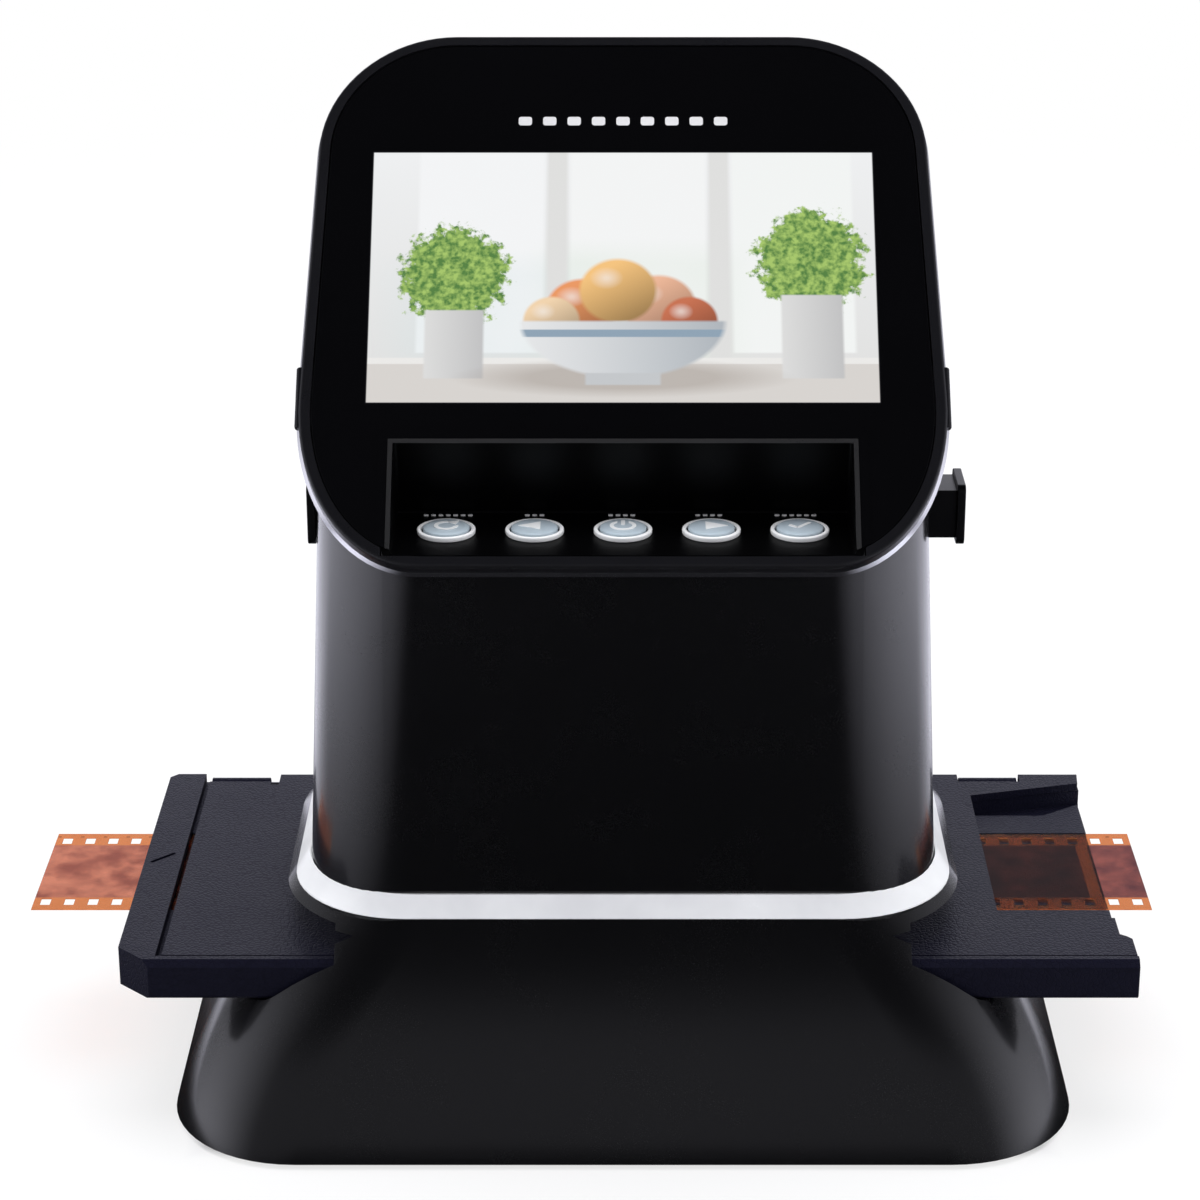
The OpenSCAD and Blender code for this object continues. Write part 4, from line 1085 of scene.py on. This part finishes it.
# %% Rings and caps
def twin_of(piece, name):
    """A copy with its own mesh."""
    twin = piece.copy()
    twin.data = piece.data.copy()
    twin.name = twin.data.name = name
    bpy.context.scene.collection.objects.link(twin)
    return twin


def in_row(first, name, i):
    """The first piece itself, or a copy of it i places to the right."""
    if i == 0:
        return first
    twin = twin_of(first, name)
    twin.data.transform(Matrix.Translation((i * PITCH * MM, 0, 0)))
    return twin


BUTTONS = ("mode", "left", "power", "right", "ok")
for i, word in enumerate(BUTTONS):
    close(in_row(first_ring, f"button_ring_{word}", i), "ring_white", "housing")
    close(in_row(first_cap, f"button_cap_{word}", i), "cap_blue", f"{word}_button", f"button_{word}")
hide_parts("button_rings")

# %% [markdown]
# The signs on the caps are pale inlays that stand a hair proud: a turning arrow, two triangles, the sign
# for power, and a tick. They are cut from tubes, prisms and bars.

# %% Signs
SIGN_Z, SIGN_H = CAP_TOP + 0.08, 0.24
sign_white = plastic("sign_white", (0.84, 0.88, 0.9), 0.35, 0.000005, 3000)


def lay(sign, x, y, turn, wide=1.0):
    """Turns a flat shape that lies at the origin, widens it and lays it on a cap."""
    sign.data.transform(
        Matrix.Translation((x * MM, y * MM, SIGN_Z * MM)) @ Matrix.Diagonal((1, wide, 1, 1))
        @ Matrix.Rotation(math.radians(turn), 4, "Z")
    )
    return sign


def arc(x, radius, width, opening, turn):
    """A flat ring sign round a cap's middle with a gap; opening is the gap's width."""
    tube = disc("sign", (x, BUTTON_Y, SIGN_Z), radius, SIGN_H, 48, end_fill_type="NOTHING")
    modify(tube, "SOLIDIFY", thickness=width * MM, offset=-1)
    cut(tube, lay(block((opening, radius * 1.4, 2), (0, radius, 0)), x, BUTTON_Y, turn))
    return tube


def triangle(x, y, size, turn, wide=1.0):
    """A flat triangle sign; turn 0 points to the right."""
    sign = disc("sign", (0, 0, 0), size, SIGN_H, 3)
    object_mode()
    return lay(sign, x, y, turn - 90, wide)


def bar(x, y, length, width, turn):
    return lay(block((length, width, SIGN_H), (0, 0, 0), width * 0.3, "z", 3, "sign"), x, y, turn)


def sign_on(word, *shapes):
    """Joins the shapes into one piece that rides on the button."""
    sign = shapes[0]
    only(sign)
    for shape in shapes[1:]:
        shape.select_set(True)
    if len(shapes) > 1:
        bpy.ops.object.join()
    sign.name = sign.data.name = f"sign_{word}"
    close(sign, "ring_white", f"{word}_button", coat=sign_white)


# %% Signs on the caps
mode_x, left_x, power_x, right_x, ok_x = button_x
sign_on("mode", arc(mode_x, 2.3, 0.8, 2.4, -55), triangle(mode_x + 1.4, BUTTON_Y + 1.7, 1.3, 165))
sign_on("left", triangle(left_x - 0.3, BUTTON_Y, 2.8, 180, 0.86))
sign_on("power", arc(power_x, 2.5, 0.75, 2.1, 0), bar(power_x, BUTTON_Y + 1.5, 2.6, 0.75, 90))
sign_on("right", triangle(right_x + 0.3, BUTTON_Y, 2.8, 0, 0.86))
sign_on(
    "ok", bar(ok_x - 1.25, BUTTON_Y - 0.35, 2.0, 0.75, -45),
    bar(ok_x + 0.75, BUTTON_Y + 0.25, 3.8, 0.75, 50),
)

# %% [markdown]
# Where the real head carries printed words, this one has plain marks that mean nothing but film: a row
# of perforations over the display, and a few short pale dashes behind each button.

# %% Plain marks
MARKS, MARK_S = 9, 94.6
DASH_W, DASH_STEP, DASH_Y = 0.9, 1.4, -17.5
print_white = plastic("print_white", (0.62, 0.62, 0.63), 0.4, 0.000005, 3000)


def repeat(piece, count, step):
    """Repeats a piece to the right."""
    modify(
        piece, "ARRAY", count=count, use_relative_offset=False, use_constant_offset=True,
        constant_offset_displace=(step * MM, 0, 0),
    )


first_mark = (-(MARKS - 1) / 2 * PERF_PITCH, MARK_S, -0.18)
marks = block((2.6, 1.9, 0.06), first_mark, 0.5, "z", 4, "perforation_mark")
repeat(marks, MARKS, PERF_PITCH)
close(marks, "ring_white", "housing", coat=print_white, tilt=True)
for word, x, length in zip(BUTTONS, button_x, (9.5, 4.2, 5.6, 5.6, 8.6)):
    first_dash = (x - length / 2 + DASH_W / 2, DASH_Y, SHELF_Z + 0.1)
    dash = block((DASH_W, 0.6, 0.2), first_dash, 0.2, "z", 3, f"dash_{word}")
    repeat(dash, max(2, round(length / DASH_STEP)), DASH_STEP)
    close(dash, "ring_white", "housing", coat=print_white)

# %% [markdown]
# ## The tray, its lid and the small sliding parts
# These parts are prismatic, and the CAD already has their exact outlines. What it lacks is what every
# moulding has: edges that are a little round and catch light. Each is taken as a copy of the CAD mesh.
# Its loose triangles are merged, flat fields are dissolved into single faces, and the edges are bevelled.


# %% Soft-edged copies of CAD parts
def recast(node_name, name, slot, body, width, segments=2, coat=None):
    """A copy of a CAD part with its edges rounded, which takes that part's place."""
    twin = twin_of(nodes[node_name], name)
    only(twin)
    bpy.ops.object.mode_set(mode="EDIT")
    pick_all()
    bpy.ops.mesh.remove_doubles(threshold=SAME_POINT)
    bpy.ops.mesh.dissolve_limited(angle_limit=math.radians(1))
    soften(twin, width, segments)
    close(twin, slot, body, node_name, coat=coat, flip=False)


recast("tray_base", "tray_moulding", "tray_grain", "tray", 0.28, 3)
recast("tray_lid", "lid_moulding", "tray_grain", "lid", 0.22)
deep_black = plastic("deep_black", (0.0012, 0.0012, 0.0016), 0.3, 0.00001, 3000, shine=0.4)
recast("selector_bar", "selector_rail", "satin_black", "selector", 0.3, coat=deep_black)
for side in ("left", "right"):
    recast(
        f"selector_cap_{side}", f"selector_end_{side}", "satin_black", "selector", 0.75, 4, deep_black
    )
recast("side_catches", "catch_mouldings", "satin_black", "housing", 0.25, coat=deep_black)
recast("rubber_feet", "feet_soft", "foot_rubber", "housing", 0.3)
recast("bottom_plate", "floor_plate", "inner_black", "housing", 0.3)

# %% [markdown]
# ## Finish
# Every CAD part that still shows takes the finish of its slot.

# %% CAD parts take their finishes
for part in frame["record"]["subparts"]:
    node = nodes[part["node"]]
    node.data.materials.clear()
    node.data.materials.append(finishes[part["material_slot"]].material)
print(len(nodes), "CAD parts dressed")
